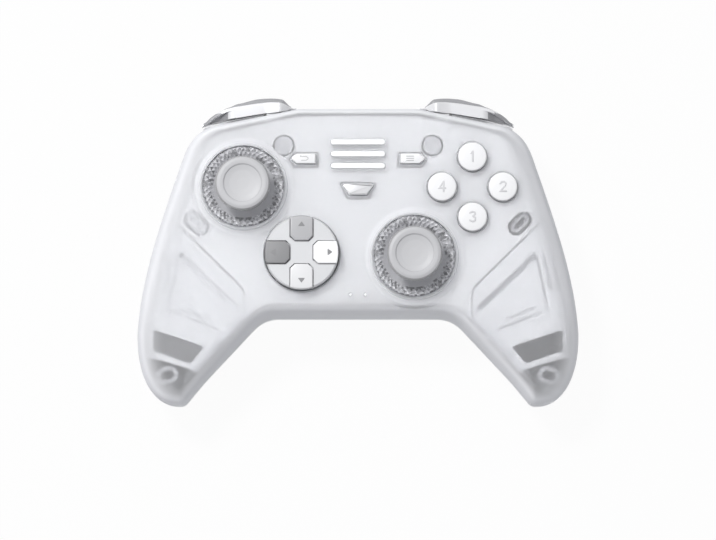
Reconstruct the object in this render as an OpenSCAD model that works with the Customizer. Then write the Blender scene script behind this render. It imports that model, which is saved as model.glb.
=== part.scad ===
// Gamepad controller with two sticks, a direction pad, bumpers and triggers.
// Millimetres. X to the right, Y towards the bumpers, Z out of the face, rear rest face on Z = 0.

/* [Body] */
// Width across the grips
body_w = 155; // [146:1:164]
// Height of the flat face above the rest face
face_z = 34; // [32:0.5:37]
// Height of the joint between the two shells
part_z = 20; // [19:0.25:21]
// Wall of both shells
wall = 2; // [1.6:0.1:2.4]
// Middle of the top edge
top_y = 50.5; // [49.5:0.25:52]
// Bottom edge between the grips
waist_y = -23.6; // [-25:0.2:-22]
// Ends of the grips
grip_y = -54.5; // [-60:0.5:-53]
// Height of the widest place
widest_y = -29; // [-33:0.5:-25]
// How far the grip ends sit from the middle
tip_x = 62.3; // [60:0.25:64]
// How far the face falls towards the grip ends
grip_droop = 3.5; // [1:0.25:5]
// How far the rear face rises behind the shoulders
shoulder_lift = 5; // [2:0.25:7]

/* [Sticks] */
// Left stick and face buttons, distance from the middle
upper_x = 39.9; // [39.2:0.1:41]
// Left stick and face buttons, height
upper_y = 21.3; // [20.4:0.1:22.2]
// Right stick and direction pad, distance from the middle
lower_x = 19.6; // [19.2:0.1:20.2]
// Right stick, height
lower_y = -3.1; // [-3.8:0.1:-2.4]
// Radius of the knurled ring
ring_r = 14.2; // [13.8:0.1:14.6]
// Teeth on the knurled ring
ring_teeth = 48; // [36:2:54]
// Radius of the thumb cap
cap_r = 9.55; // [9:0.05:10]
// Top of the thumb cap above the face
cap_rise = 11.3; // [10.8:0.1:12.5]
// Tilt axes below the face
stick_pivot_drop = 11.5; // [11.2:0.1:11.8]
// Collar round each stick above the face
collar_h = 2.2; // [1.5:0.1:2.6]

/* [Direction pad] */
// Direction pad, height
pad_y = -2; // [-2.8:0.1:-1.2]
// Radius of the pad
dpad_r = 12.8; // [12.4:0.1:13.2]
// Top of the disc above the face
dpad_rise = 3.2; // [2.5:0.1:4]
// Keys above the disc
key_rise = 1; // [0.6:0.1:1.5]
// Width of one key
key_w = 7.8; // [7.2:0.1:8.6]
// Inner end of a key from the middle of the pad
key_in = 4.1; // [3.7:0.1:4.5]

/* [Buttons] */
// Radius of a face button
face_button_r = 5.15; // [4.6:0.05:5.4]
// Face button from the middle of the diamond
face_button_pitch = 10.6; // [10.2:0.1:11.2]
// Face button above the face
face_button_rise = 2.2; // [1.5:0.1:3]
// Travel of a face button
face_button_travel = 1.4; // [0.8:0.1:1.5]
// Length of the view and menu buttons
arrow_l = 8.3; // [7.5:0.1:9]
// Height of the view and menu buttons
arrow_h = 3.4; // [3:0.1:4]
// View and menu buttons from the middle
arrow_x = 19; // [18.4:0.1:19.6]
// View and menu buttons, in from the top edge
arrow_in = 19.2; // [18.5:0.1:19.9]
arrow_y = top_y - arrow_in;
// Top edge of the home button
home_top = 10.75; // [9:0.25:12]
// Bottom edge of the home button
home_bottom = 6; // [5:0.25:8]
// Height of the home button
home_h = 3.9; // [3.4:0.1:4.5]
// Middle of the home button
home_y = 20.5; // [19.5:0.1:21.5]
// Small buttons above the face
small_rise = 1.2; // [0.8:0.1:1.6]
// Travel of the small buttons
small_travel = 0.5; // [0.3:0.05:0.6]
// Gap round every button
button_gap = 0.25; // [0.2:0.05:0.35]

/* [Lights] */
// Number of light bars
bar_count = 3; // [2:1:3]
// Distance between light bars
bar_pitch = 4.2; // [3.6:0.1:4.4]
// Width of a light bar
bar_w = 1.9; // [1.5:0.1:2.2]
// Length of a light bar
bar_l = 19; // [16:0.5:20]
// Middle of the light bars
bar_y = 33; // [32.5:0.1:33.6]
// Light bars above the face
bar_rise = 0.5; // [0.2:0.1:0.8]
// Dots of the status lights from the middle
dot_x = 2.6; // [1.6:0.05:3]
// Height of the status dots
dot_y = -16.4; // [-17:0.1:-15.6]

/* [Bumpers and triggers] */
// Underside of the bumpers
bumper_z0 = 21.2; // [21:0.1:22]
// Top of the bumpers
bumper_z1 = 29.6; // [28.5:0.1:30.5]
// Bumper pin from the middle
bumper_pin_x = 29.5; // [29:0.25:30.5]
// Bumper pin, in from the top edge
bumper_pin_in = 6.3; // [6.1:0.1:6.6]
bumper_pin_y = top_y - bumper_pin_in;
// Radius of the bumper pin
bumper_pin_r = 1.3; // [1.1:0.05:1.4]
// Trigger pin, in from the top edge
trigger_pin_in = 8.7; // [8.5:0.1:9]
trigger_pin_y = top_y - trigger_pin_in;
// Trigger pin above the rest face
trigger_pin_z = 16.4; // [16:0.1:16.6]
// Radius of the trigger pin
trigger_pin_r = 1.2; // [1:0.05:1.3]
// Lowest point of the triggers
trigger_z0 = 5; // [4.5:0.25:7]

/* [Inside] */
// Top of the main board
board_z = 17; // [16.8:0.1:17.2]
// Thickness of the main board
board_t = 1.6; // [1.2:0.1:1.8]
// Width of the USB socket
usb_w = 8.94; // [8.6:0.02:9.2]
// Height of the USB socket
usb_h = 3.2; // [3:0.02:3.4]
// Half width of the main board
board_x = 54; // [50:0.5:56]
// Thickness of the frame under the face
frame_t = 1; // [0.8:0.1:1.2]
// Gap between the frame and the shell
frame_gap = 0.5; // [0.4:0.05:0.6]
// Thickness of the grip liner
liner_t = 1.2; // [0.9:0.1:1.4]
// Gap between a grip liner and the shell
liner_gap = 0.5; // [0.4:0.05:0.6]
// Radius of the rumble motor
motor_r = 7; // [6.5:0.25:7.5]
// Battery width
battery_w = 46; // [40:1:50]
// Battery height
battery_h = 26; // [20:1:28]
// Battery thickness
battery_t = 9; // [6:0.5:10.5]

/* [Hidden] */
$fn = 40;
half_w = body_w / 2;
rest_sink = 0.4;
n_st = 22;
n_sp = 16;
run = 0.05;
fit = 0.15;
in_z = face_z - wall;
pivot_z = face_z - stick_pivot_drop;
switch_z = board_z + 4.3;
pad_pivot_z = face_z - 1;
left_stick = [-upper_x, upper_y];
right_stick = [lower_x, lower_y];
pad_at = [-lower_x, pad_y];
diamond = [upper_x, upper_y];
ways = [[0, 1], [1, 0], [0, -1], [-1, 0]];
motor_at = [half_w - 14, widest_y + 1];
motor_z = 13.4;
motor_l = 16;
standoffs = [[46, -9], [-46, -9], [13, 30], [-13, 30]];

// One straight stretch, one curved corner and the formulas for the outline's right half.
function mix(a, b, t) = a + (b - a) * t;
function ease(t) = let (c = min(1, max(0, t))) c * c * (3 - 2 * c);
function corner(a, b, c, t) = mix(mix(a, b, t), mix(b, c, t), t);

// Outline points carry x, y, the front edge rounding and the rear edge rounding.
top_end = [21, top_y, 4, 8];
slope_end = [50, top_y - 5.8, 5, 9];
side_start = [61.6, top_y - 16.5, 11, 13];
widest = [half_w, widest_y, 13, 14];
tip = [tip_x, grip_y, 8, 12];
tip_end = [tip_x - 7.2, grip_y + 7.2, 5.5, 12];
crotch_start = [36.5, waist_y - 3.8, 5, 11];
crotch_end = [28, waist_y, 4.5, 10];

// Where the case posts stand in the right half.
round_post = [bumper_pin_x - 3.5, bumper_pin_y - 7.9];
pill_post = [side_start.x - 5.1, 8.8];
grip_post = [half_w - 11, grip_y + 10.4];
posts = [round_post, pill_post, grip_post];

outline = concat(
    [for (t = [0:0.25:0.99]) mix([0, top_y, 4, 8], top_end, t)],
    [for (t = [0:0.25:0.99]) mix(top_end, slope_end, t)],
    [for (t = [0:0.125:0.99]) corner(slope_end, [58.4, top_y - 7.4, 8, 11], side_start, t)],
    [for (t = [0:0.1:0.99])
        [mix(side_start.x, widest.x, sin(90 * t) - 0.067 * sin(180 * t)), mix(side_start.y, widest.y, t),
         mix(side_start[2], widest[2], t), mix(side_start[3], widest[3], t)]],
    [for (a = [0:9:89])
        [mix(tip.x, widest.x, pow(cos(a), 0.9)), mix(widest.y, tip.y, pow(sin(a), 0.9)),
         mix(widest[2], tip[2], a / 90), mix(widest[3], tip[3], a / 90)]],
    [for (t = [0:0.2:0.99]) corner(tip, [tip_x - 4.4, grip_y, 6, 12], tip_end, t)],
    [for (t = [0:0.25:0.99]) mix(tip_end, crotch_start, t)],
    [for (t = [0:0.2:0.99]) corner(crotch_start, [32.8, waist_y, 5, 10], crotch_end, t)],
    [for (t = [0:0.25:1]) mix(crotch_end, [0, waist_y, 4.5, 10], t)]
);
n_out = len(outline);

// The outline moved inwards by d, with the widest place found again.
function flat(p) = [p.x, p.y];
function leftward(a, b) = let (v = flat(b) - flat(a)) [v.y, -v.x] / norm(v);
function inset_pt(i, d) = let (
        a = i == 0 ? [-1, top_y] : outline[i - 1],
        b = i == n_out - 1 ? [-1, waist_y] : outline[i + 1]
    ) concat(flat(outline[i]) + d * leftward(a, b), [outline[i][2], outline[i][3]]);
function inset_line(d) = [for (i = [0:n_out - 1]) inset_pt(i, d)];
function widest_i(line) = let (w = max([for (p = line) p.x])) search(w, [for (p = line) p.x])[0];

// Share of the edge rounding that a point has covered: 0 on the outline, 1 where the face is flat.
function seg_gap(p, a, b) = let (
        v = b - a,
        t = max(0, min(1, ((p - a) * v) / (v * v)))
    ) norm(p - a - t * v);
function edge_share(p, k, d) = min(1, max(0, min([for (i = [0:n_out - 2])
    (seg_gap([abs(p.x), p.y], flat(outline[i]), flat(outline[i + 1])) - d)
    / max(0.8, outline[i][k] - d)])));
function bulge(q) = pow(max(0, 1 - pow(1 - q, 2.2)), 1 / 2.2);
function front_z(p, d) = part_z + bulge(edge_share(p, 2, d))
    * (face_z - part_z - d - grip_droop * ease((-p.y - 8) / 42) * ease((abs(p.x) - 30) / 18));
function rear_z(p, d) = part_z - bulge(edge_share(p, 3, d))
    * (part_z + rest_sink - d - shoulder_lift * ease((abs(p.x) - 22) / 24) * ease((p.y + 4) / 30));
function skin_z(p, d, front) = front ? front_z(p, d) : rear_z(p, d);

// Grid of points over the outline, in slices along x.
function slice_y(lo, hi, r_lo, r_hi, j) = let (
        e_lo = min(r_lo, 0.4 * (hi - lo)),
        e_hi = min(r_hi, 0.4 * (hi - lo))
    ) j <= 4 ? lo + e_lo * (1 - cos(22.5 * j))
    : j >= n_sp - 4 ? hi - e_hi * (1 - cos(22.5 * (n_sp - j)))
    : mix(lo + e_lo, hi - e_hi, (j - 4) / (n_sp - 8));
function half_grid(d, front) = let (
        line = inset_line(d),
        m = widest_i(line),
        k = front ? 2 : 3,
        up = [for (i = [0:m]) [line[i].x, line[i].y]],
        up_r = [for (i = [0:m]) [line[i].x, max(0.4, line[i][k] - d)]],
        low = [for (i = [m:n_out - 1]) [line[i].x, line[i].y]],
        low_r = [for (i = [m:n_out - 1]) [line[i].x, max(0.4, line[i][k] - d)]]
    ) [for (i = [0:n_st]) let (x = line[m].x * sin(89 * i / n_st))
        [for (j = [0:n_sp]) let (
            y = slice_y(lookup(x, low), lookup(x, up), lookup(x, low_r), lookup(x, up_r), j),
            edge = i == n_st || j == 0 || j == n_sp
        ) [x, y, edge ? part_z : skin_z([x, y], d, front)]]];
function full_grid(d, front) = let (h = half_grid(d, front)) concat(
    [for (i = [n_st:-1:1]) [for (p = h[i]) [-p.x, p.y, p.z]]], h);
function joined(rows) = [for (r = rows) for (p = r) p];
n_rows = 2 * n_st + 1;
n_cols = n_sp + 1;
function at(i, j, base) = base + i * n_cols + j;
function skin_faces(base, turn) = [for (i = [0:n_rows - 2]) for (j = [0:n_cols - 2]) for (h = [0, 1]) let (
        a = at(i, j, base), b = at(i, j + 1, base), c = at(i + 1, j + 1, base), e = at(i + 1, j, base)
    ) turn ? (h == 0 ? [a, c, b] : [a, e, c]) : (h == 0 ? [a, b, c] : [a, c, e])];
rim = concat([for (i = [0:n_rows - 2]) [i, 0]], [for (j = [0:n_cols - 2]) [n_rows - 1, j]],
    [for (i = [n_rows - 1:-1:1]) [i, n_cols - 1]], [for (j = [n_cols - 1:-1:1]) [0, j]]);
n_rim = len(rim);

module dome_shell(front, d0 = 0, d1 = wall) {
    pts = concat(joined(full_grid(d0, front)), joined(full_grid(d1, front)));
    base = n_rows * n_cols;
    ring = [for (i = [0:n_rim - 1]) for (h = [0, 1]) let (
        p = rim[i], q = rim[(i + 1) % n_rim],
        a = at(p[0], p[1], 0), b = at(q[0], q[1], 0),
        c = at(q[0], q[1], base), e = at(p[0], p[1], base)
    ) front ? (h == 0 ? [a, b, c] : [a, c, e]) : (h == 0 ? [a, c, b] : [a, e, c])];
    polyhedron(pts, concat(front ? ring : [], skin_faces(0, !front), skin_faces(base, front), front ? [] : ring),
        convexity = 6);
}

// The solid under a skin, used to trim posts and ribs inside the wall.
module dome_solid(d, front) {
    floor_face = [for (p = rim) at(p[0], p[1], 0)];
    polyhedron(joined(full_grid(d, front)),
        concat(skin_faces(0, !front), [front ? floor_face : [for (i = [n_rim - 1:-1:0]) floor_face[i]]]),
        convexity = 6);
}

// A closed tube of sections, each a list of points, with flat ends.
module loft(sections) {
    n = len(sections[0]);
    m = len(sections);
    polyhedron(joined(sections), concat(
        [for (i = [0:m - 2]) for (j = [0:n - 1]) for (h = [0, 1]) let (
            a = i * n + j, b = i * n + (j + 1) % n, c = b + n, e = a + n
        ) h == 0 ? [a, b, c] : [a, c, e]],
        [[for (j = [n - 1:-1:0]) j]], [[for (j = [0:n - 1]) (m - 1) * n + j]]), convexity = 6);
}

// Flat shapes with a grow value, so a hole is the same shape as the part in it.
function pill_pts(l, w) = concat(
    [for (a = [-90:15:90]) [l / 2 - w / 2 + w / 2 * cos(a), w / 2 * sin(a)]],
    [for (a = [90:15:270]) [-l / 2 + w / 2 + w / 2 * cos(a), w / 2 * sin(a)]]);
function arrow_pts(g) = let (l = arrow_l / 2 + g, h = arrow_h / 2 + g, c = arrow_h * 0.5)
    [[-l, -h], [l - c, -h], [l, -0.35], [l, 0.35], [l - c, h], [-l, h]];
function home_pts(g) = let (t = home_top / 2 + g, b = home_bottom / 2 + g, h = home_h / 2 + g)
    [[-b, -h], [b, -h], [t, h - 0.8], [t - 0.5, h], [0.5 - t, h], [-t, h - 0.8]];
module mirrored() {
    children();
    mirror([1, 0, 0]) children();
}
module at_ways(c, r) for (w = ways) translate([c.x + r * w.x, c.y + r * w.y, 0]) children();

// Front shell
module stick_opening() {
    translate([0, 0, face_z - 1]) cylinder(r = ring_r + fit, h = 10);
    translate([0, 0, face_z - 6]) cylinder(r = ring_r - 1.6, h = 10);
}
module collar() {
    rotate_extrude() polygon([[ring_r - 0.6, face_z - wall + 0.4], [ring_r + 3, face_z - wall + 0.4],
        [ring_r + 2.4, face_z + 0.4], [ring_r + 1.7, face_z + collar_h - 1], [ring_r + 1.3, face_z + collar_h - 0.8],
        [ring_r + 0.9, face_z + collar_h], [ring_r - 0.6, face_z + collar_h]]);
}
module post(p) {
    if (p == pill_post) rotate(45) linear_extrude(face_z - part_z) polygon(pill_pts(8.8, 5));
    else if (p == grip_post) rotate(-15) linear_extrude(face_z - part_z) polygon(pill_pts(7.8, 6));
    else cylinder(r = 3.4, h = face_z - part_z);
}
module bumper_window() {
    translate([bumper_pin_x - 4.2, bumper_pin_y + 0.8, part_z - 2]) cube([8.2, 8, bumper_z1 - part_z + 1.6]);
}
module usb_window() translate([0, top_y + 3, board_z + usb_h / 2]) rotate([90, 0, 0])
    linear_extrude(12) polygon(pill_pts(usb_w + 0.8, usb_h + 0.8));
module light_bar_shape(i, g) translate([0, bar_y + (i - (bar_count - 1) / 2) * bar_pitch])
    polygon(pill_pts(bar_l + 2 * g, bar_w + 2 * g));
module round_hole(r, c) rotate_extrude() polygon([[0, face_z - 6], [r, face_z - 6], [r, face_z - c],
    [r + c + 1, face_z + 1], [0, face_z + 1]]);
// Ledge on the rim under each bumper, so no gap shows behind it
seat_x = [for (x = [24:3:54]) x];
module bumper_seat() translate([0, 0, part_z]) linear_extrude(0.9) polygon(concat(
    [for (x = seat_x) [x, shoulder_y(x) - 1.2]],
    [for (i = [len(seat_x) - 1:-1:0]) [seat_x[i], shoulder_y(seat_x[i]) + 1.5]]));
module front_shell() color([0.94, 0.94, 0.94]) union() {
    cut_front();
    mirrored() bumper_seat();
}
module cut_front() difference() {
    union() {
        dome_shell(true);
        for (s = [left_stick, right_stick]) translate([s.x, s.y, 0]) collar();
        intersection() {
            dome_solid(wall / 2, true);
            mirrored() {
                for (p = posts) translate([p.x, p.y, part_z + 0.5]) post(p);
                translate([bumper_pin_x, bumper_pin_y, bumper_z1 + 0.2]) cylinder(r = 2.6, h = 10);
            }
        }
    }
    for (s = [left_stick, right_stick]) translate([s.x, s.y, 0]) stick_opening();
    translate([pad_at.x, pad_at.y, 0]) round_hole(dpad_r + 0.7, 0.5);
    at_ways(diamond, face_button_pitch) union() {
        round_hole(face_button_r + button_gap, 0.3);
        translate([0, 0, in_z - 5]) cylinder(r = face_button_r + 1.35, h = 4.9);
    }
    mirrored() {
        translate([arrow_x, arrow_y, face_z - 6]) linear_extrude(10) polygon(arrow_pts(button_gap));
        for (p = posts) translate([p.x, p.y, part_z - 1]) cylinder(r = 1.15, h = 7);
        translate([bumper_pin_x, bumper_pin_y, part_z]) cylinder(r = bumper_pin_r + run, h = in_z - part_z + 0.1);
        bumper_window();
    }
    translate([0, home_y, face_z - 6]) linear_extrude(10) polygon(home_pts(button_gap));
    translate([0, 0, face_z - 6]) linear_extrude(10)
        for (i = [0:bar_count - 1]) light_bar_shape(i, fit);
    mirrored() translate([dot_x, dot_y, face_z - 6]) cylinder(r = 0.65, h = 10);
    usb_window();
}

// Rear shell
module trigger_window() {
    translate([33, trigger_pin_y - 3, trigger_pin_z - 7]) cube([17.6, 16, 20]);
}
module rear_ribs() {
    for (p = posts) translate([p.x, p.y, 0]) cylinder(r = 4.2, h = part_z + 0.3);
    for (x = [30.9, 51]) translate([x, trigger_pin_y - 2.6, 0]) cube([1.8, 8, trigger_pin_z + 2]);
    for (y = [-4, 5]) translate([motor_at.x - 5, motor_at.y + y - 0.8, 0]) cube([10, 1.6, motor_z - 3]);
    translate([bumper_pin_x, bumper_pin_y, 0]) cylinder(r = 2.4, h = part_z - 0.2);
}
module rear_shell() color([0.9, 0.9, 0.9]) difference() {
    union() {
        dome_shell(false);
        intersection() {
            dome_solid(wall / 2, false);
            union() {
                mirrored() rear_ribs();
                for (p = standoffs) translate([p.x, p.y, 0]) cylinder(r = 2.6, h = board_z - board_t);
            }
        }
    }
    translate([0, 0, -5]) cube([400, 400, 10], center = true);
    mirrored() {
        for (p = posts) translate([p.x, p.y, -1]) {
            cylinder(r = 2.8, h = 8);
            cylinder(r = 1.3, h = 30);
        }
        translate([25, trigger_pin_y, trigger_pin_z]) rotate([0, 90, 0])
            cylinder(r = trigger_pin_r + run, h = 28.5);
        translate([motor_at.x, motor_at.y - 10, motor_z]) rotate([-90, 0, 0]) cylinder(r = motor_r + fit, h = 20);
        translate([bumper_pin_x, bumper_pin_y, part_z - 4]) cylinder(r = bumper_pin_r + run, h = 10);
        trigger_window();
    }
    for (p = standoffs) translate([p.x, p.y, board_z - board_t - 6]) cylinder(r = 0.95, h = 10);
    usb_window();
}
module case_screws() color([0.35, 0.35, 0.37]) mirrored() for (p = posts) translate([p.x, p.y, 0]) difference() {
    union() {
        translate([0, 0, 5.2]) cylinder(r = 2.4, h = 1.8);
        translate([0, 0, 6]) cylinder(r = 1, h = part_z);
    }
    for (a = [0, 90]) rotate(a) translate([-1.6, -0.3, 4]) cube([3.2, 0.6, 2.2]);
}

// Grip liner: a moulded plate that follows the inside of the front shell
liner_out = half_w - 5.1;
liner_up = [[40, -15], [49.4, -5.6], [58.6, 3.4], [liner_out - 5.8, 1.2], [liner_out, -15.6]];
liner_low = [[40, -19.6], [41.6, -24], [51.8, -33.8], [58.4, -41], [liner_out, -37.4]];
function liner_pt(u, v, d) = let (
        x = mix(40.4, liner_out, u),
        p = [x, mix(lookup(x, liner_low), lookup(x, liner_up), v)]
    ) [p.x, p.y, front_z(p, d)];
module liner_plate() {
    d = wall + liner_gap;
    nu = 12;
    nv = 9;
    loft([for (i = [0:nu]) concat(
        [for (j = [0:nv]) liner_pt(i / nu, j / nv, d)],
        [for (j = [nv:-1:0]) liner_pt(i / nu, j / nv, d) - [0, 0, liner_t]])]);
}
module liner_right() difference() {
    liner_plate();
    linear_extrude(face_z) polygon([[54.2, -33.9], [liner_out - 2, -28.4], [liner_out - 1.6, -35.2],
        [59, -39.6]]);
}
module grip_liner_right() color([0.6, 0.6, 0.62]) liner_right();
module grip_liner_left() color([0.6, 0.6, 0.62]) mirror([1, 0, 0]) liner_right();

// Frame under the face: a white tray that follows the shell, with an opening for every control
frame_right = [[0, top_y + 9], [90, top_y + 9], [90, 35.7], [39.6, -14], [39.6, waist_y - 8], [0, waist_y - 8]];
module frame_area() polygon(concat(frame_right,
    [for (i = [len(frame_right) - 2:-1:1]) [-frame_right[i].x, frame_right[i].y]]));
module inner_frame() color([0.95, 0.95, 0.95]) difference() {
    intersection() {
        dome_shell(true, wall + frame_gap, wall + frame_gap + frame_t);
        translate([0, 0, part_z + 4]) linear_extrude(face_z) frame_area();
    }
    translate([0, 0, part_z]) {
        for (s = [left_stick, right_stick]) translate([s.x, s.y, 0]) cylinder(r = ring_r - 1.2, h = face_z);
        translate([pad_at.x, pad_at.y, 0]) cylinder(r = dpad_r + 2.5, h = face_z);
        at_ways(diamond, face_button_pitch) cylinder(r = face_button_r + 1.35, h = face_z);
        translate([0, home_y, 0]) linear_extrude(face_z) polygon(home_pts(1.05));
        linear_extrude(face_z) light_plate(0.35);
        linear_extrude(face_z) status_plate(0.35);
        mirrored() {
            translate([arrow_x, arrow_y, 0]) linear_extrude(face_z) polygon(arrow_pts(1.05));
            translate([round_post.x, round_post.y, 0]) cylinder(r = 3.8, h = face_z);
            translate([pill_post.x, pill_post.y, 0]) rotate(45) linear_extrude(face_z) polygon(pill_pts(9.6, 5.8));
            translate([bumper_pin_x, bumper_pin_y, 0]) cylinder(r = 3.1, h = face_z);
            translate([bumper_pin_x - 4.6, bumper_pin_y - 1, 0]) cube([9, 12, bumper_z1 - part_z + 0.6]);
        }
    }
}

// Lights
module light_plate(g) translate([0, bar_y])
    square([bar_l + 1.6 + 2 * g, bar_pitch * (bar_count - 1) + bar_w + 1.6 + 2 * g], center = true);
module light_guide() color([0.97, 0.97, 0.97]) union() {
    translate([0, 0, in_z - 1.7]) linear_extrude(1.5) light_plate(0);
    translate([0, 0, in_z - 1]) linear_extrude(1 + wall + bar_rise)
        for (i = [0:bar_count - 1]) light_bar_shape(i, 0);
}
module status_plate(g) translate([0, dot_y]) square([2 * dot_x + 6 + 2 * g, 4 + 2 * g], center = true);
module status_light_pipe() color([0.8, 0.8, 0.82]) union() {
    translate([0, 0, in_z - 1.7]) linear_extrude(1.5) status_plate(0);
    mirrored() translate([dot_x, dot_y, in_z - 1]) cylinder(r = 0.5, h = 1 + wall + 0.1);
}

// Board and what sits on it
module main_board() color([0.1, 0.3, 0.2]) translate([0, 0, board_z - board_t]) difference() {
    linear_extrude(board_t) polygon([[-board_x, top_y - 14.5], [-usb_w, top_y - 12.5], [-usb_w, top_y - 7.5],
        [usb_w, top_y - 7.5], [usb_w, top_y - 12.5], [board_x, top_y - 14.5], [board_x, -2], [board_x - 6, -14],
        [30, waist_y + 6.6], [-30, waist_y + 6.6], [6 - board_x, -14], [-board_x, -2]]);
    mirrored() for (p = posts) translate([p.x, p.y, -1]) cylinder(r = 4.7, h = 5);
    for (p = standoffs) translate([p.x, p.y, -1]) cylinder(r = 1.1, h = 5);
}
module board_screws() color([0.55, 0.55, 0.57]) for (p = standoffs) translate([p.x, p.y, board_z]) {
    union() {
        cylinder(r = 2, h = 1.2);
        translate([0, 0, -board_t - 4]) cylinder(r = 0.85, h = board_t + 4.5);
    }
}
module key_switch() {
    translate([-2.6, -2.6, board_z]) cube([5.2, 5.2, 3.4]);
    translate([0, 0, board_z + 3]) cylinder(r = 1.5, h = switch_z - board_z - 3);
}
module key_switches() color([0.2, 0.2, 0.22]) {
    at_ways(diamond, face_button_pitch) union() key_switch();
    at_ways(pad_at, 8.6) union() key_switch();
    mirrored() translate([arrow_x, arrow_y, 0]) union() key_switch();
    translate([0, home_y, 0]) union() key_switch();
}
module battery() color([0.25, 0.28, 0.34]) translate([0, 7, wall - rest_sink + 0.25])
    linear_extrude(battery_t) polygon(concat(
        [for (s = [[1, 1, 0], [-1, 1, 90], [-1, -1, 180], [1, -1, 270]]) for (a = [0:30:90])
            [s.x * (battery_w / 2 - 2) + 2 * cos(a + s.z), s.y * (battery_h / 2 - 2) + 2 * sin(a + s.z)]]));
module usb_socket() color([0.7, 0.7, 0.72]) translate([0, top_y - 0.6, board_z + usb_h / 2])
    rotate([90, 0, 0]) union() {
        difference() {
            linear_extrude(9) polygon(pill_pts(usb_w, usb_h));
            translate([0, 0, -1]) linear_extrude(8) polygon(pill_pts(usb_w - 0.6, usb_h - 0.6));
        }
        translate([-usb_w / 2 + 1.2, -0.35, 1]) cube([usb_w - 2.4, 0.7, 7]);
    }

// Buttons
module face_button() {
    low = switch_z + face_button_travel + 0.1;
    rotate_extrude() polygon([[0, low], [2.2, low], [2.2, in_z - 1.7], [face_button_r + 0.95, in_z - 1.7],
        [face_button_r + 0.95, in_z - 0.4], [face_button_r, in_z - 0.4],
        [face_button_r, face_z + face_button_rise - 0.9],
        [face_button_r - 0.25, face_z + face_button_rise - 0.35],
        [face_button_r - 0.8, face_z + face_button_rise], [0, face_z + face_button_rise]]);
}
module face_button_at(i) color([0.96, 0.96, 0.96])
    translate([diamond.x + face_button_pitch * ways[i].x, diamond.y + face_button_pitch * ways[i].y, 0])
    face_button();
module face_button_top() face_button_at(0);
module face_button_right() face_button_at(1);
module face_button_bottom() face_button_at(2);
module face_button_left() face_button_at(3);
module small_stem() {
    low = switch_z + small_travel + 0.1;
    translate([0, 0, low]) cylinder(r = 1.4, h = in_z - 1 - low);
}
module menu_shape() union() {
    translate([0, 0, in_z - 1.6]) linear_extrude(1.2) polygon(arrow_pts(0.7));
    translate([0, 0, in_z - 1]) linear_extrude(1 + wall + small_rise) polygon(arrow_pts(0));
    small_stem();
}
module menu_button() color([0.96, 0.96, 0.96]) translate([arrow_x, arrow_y, 0]) menu_shape();
module view_button() color([0.96, 0.96, 0.96]) translate([-arrow_x, arrow_y, 0]) mirror([1, 0, 0]) menu_shape();
module home_button() color([0.85, 0.85, 0.86]) translate([0, home_y, 0]) union() {
    translate([0, 0, in_z - 1.6]) linear_extrude(1.2) polygon(home_pts(0.7));
    translate([0, 0, in_z - 1]) linear_extrude(1 + wall + small_rise) polygon(home_pts(0));
    small_stem();
}

// Direction pad
dpad_top = face_z + dpad_rise;
ball_r = 1.8;
module key_shape(g) {
    h = key_w / 2 + g;
    polygon([[-h, key_in - g + 1.6], [1.6 - h, key_in - g], [h - 1.6, key_in - g], [h, key_in - g + 1.6],
        [h, 20], [-h, 20]]);
}
module dpad_disc() color([0.78, 0.78, 0.8]) translate([pad_at.x, pad_at.y, 0]) difference() {
    union() {
        rotate_extrude() polygon([[0, pad_pivot_z - 2], [3.6, pad_pivot_z - 2], [3.6, dpad_top - 3.2],
            [dpad_r - 1.6, dpad_top - 3.2], [dpad_r - 1.6, face_z - 5.2], [dpad_r + 1.6, face_z - 6.4],
            [dpad_r + 1.6, face_z - 5.4], [dpad_r, face_z - 4.6], [dpad_r, dpad_top - 0.5],
            [dpad_r - 0.5, dpad_top], [0, dpad_top]]);
        at_ways([0, 0], 8.6) translate([0, 0, switch_z + 1.7])
            cylinder(r = 1.3, h = dpad_top - 2.5 - switch_z - 1.7);
    }
    translate([0, 0, pad_pivot_z]) sphere(r = ball_r + run);
    for (i = [0:3]) rotate(-90 * i) translate([0, 0, dpad_top - 1.4]) linear_extrude(5) key_shape(0.3);
}
module dpad_key(i) translate([pad_at.x, pad_at.y, 0]) intersection() {
    rotate_extrude() polygon([[0, dpad_top - 1.35], [dpad_r, dpad_top - 1.35], [dpad_r, dpad_top + key_rise - 0.7],
        [dpad_r - 0.7, dpad_top + key_rise], [0, dpad_top + key_rise]]);
    rotate(-90 * i) translate([0, 0, dpad_top - 2]) linear_extrude(5) key_shape(0);
}
module dpad_key_up() color([0.69, 0.69, 0.7]) dpad_key(0);
module dpad_key_right() color([0.97, 0.97, 0.97]) dpad_key(1);
module dpad_key_down() color([0.92, 0.92, 0.92]) dpad_key(2);
module dpad_key_left() color([0.57, 0.57, 0.58]) dpad_key(3);
module dpad_ball() color([0.6, 0.6, 0.62]) translate([pad_at.x, pad_at.y, pad_pivot_z]) sphere(r = ball_r);
module dpad_post() color([0.3, 0.3, 0.32]) translate([pad_at.x, pad_at.y, 0]) difference() {
    translate([0, 0, board_z]) cylinder(r = 2.6, h = pad_pivot_z - 2.6 - board_z + 1.6);
    translate([0, 0, pad_pivot_z]) rotate_extrude() polygon([[0, -2.4], [6, -2.4 - 0.3], [6, 6], [0, 6]]);
}

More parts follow.
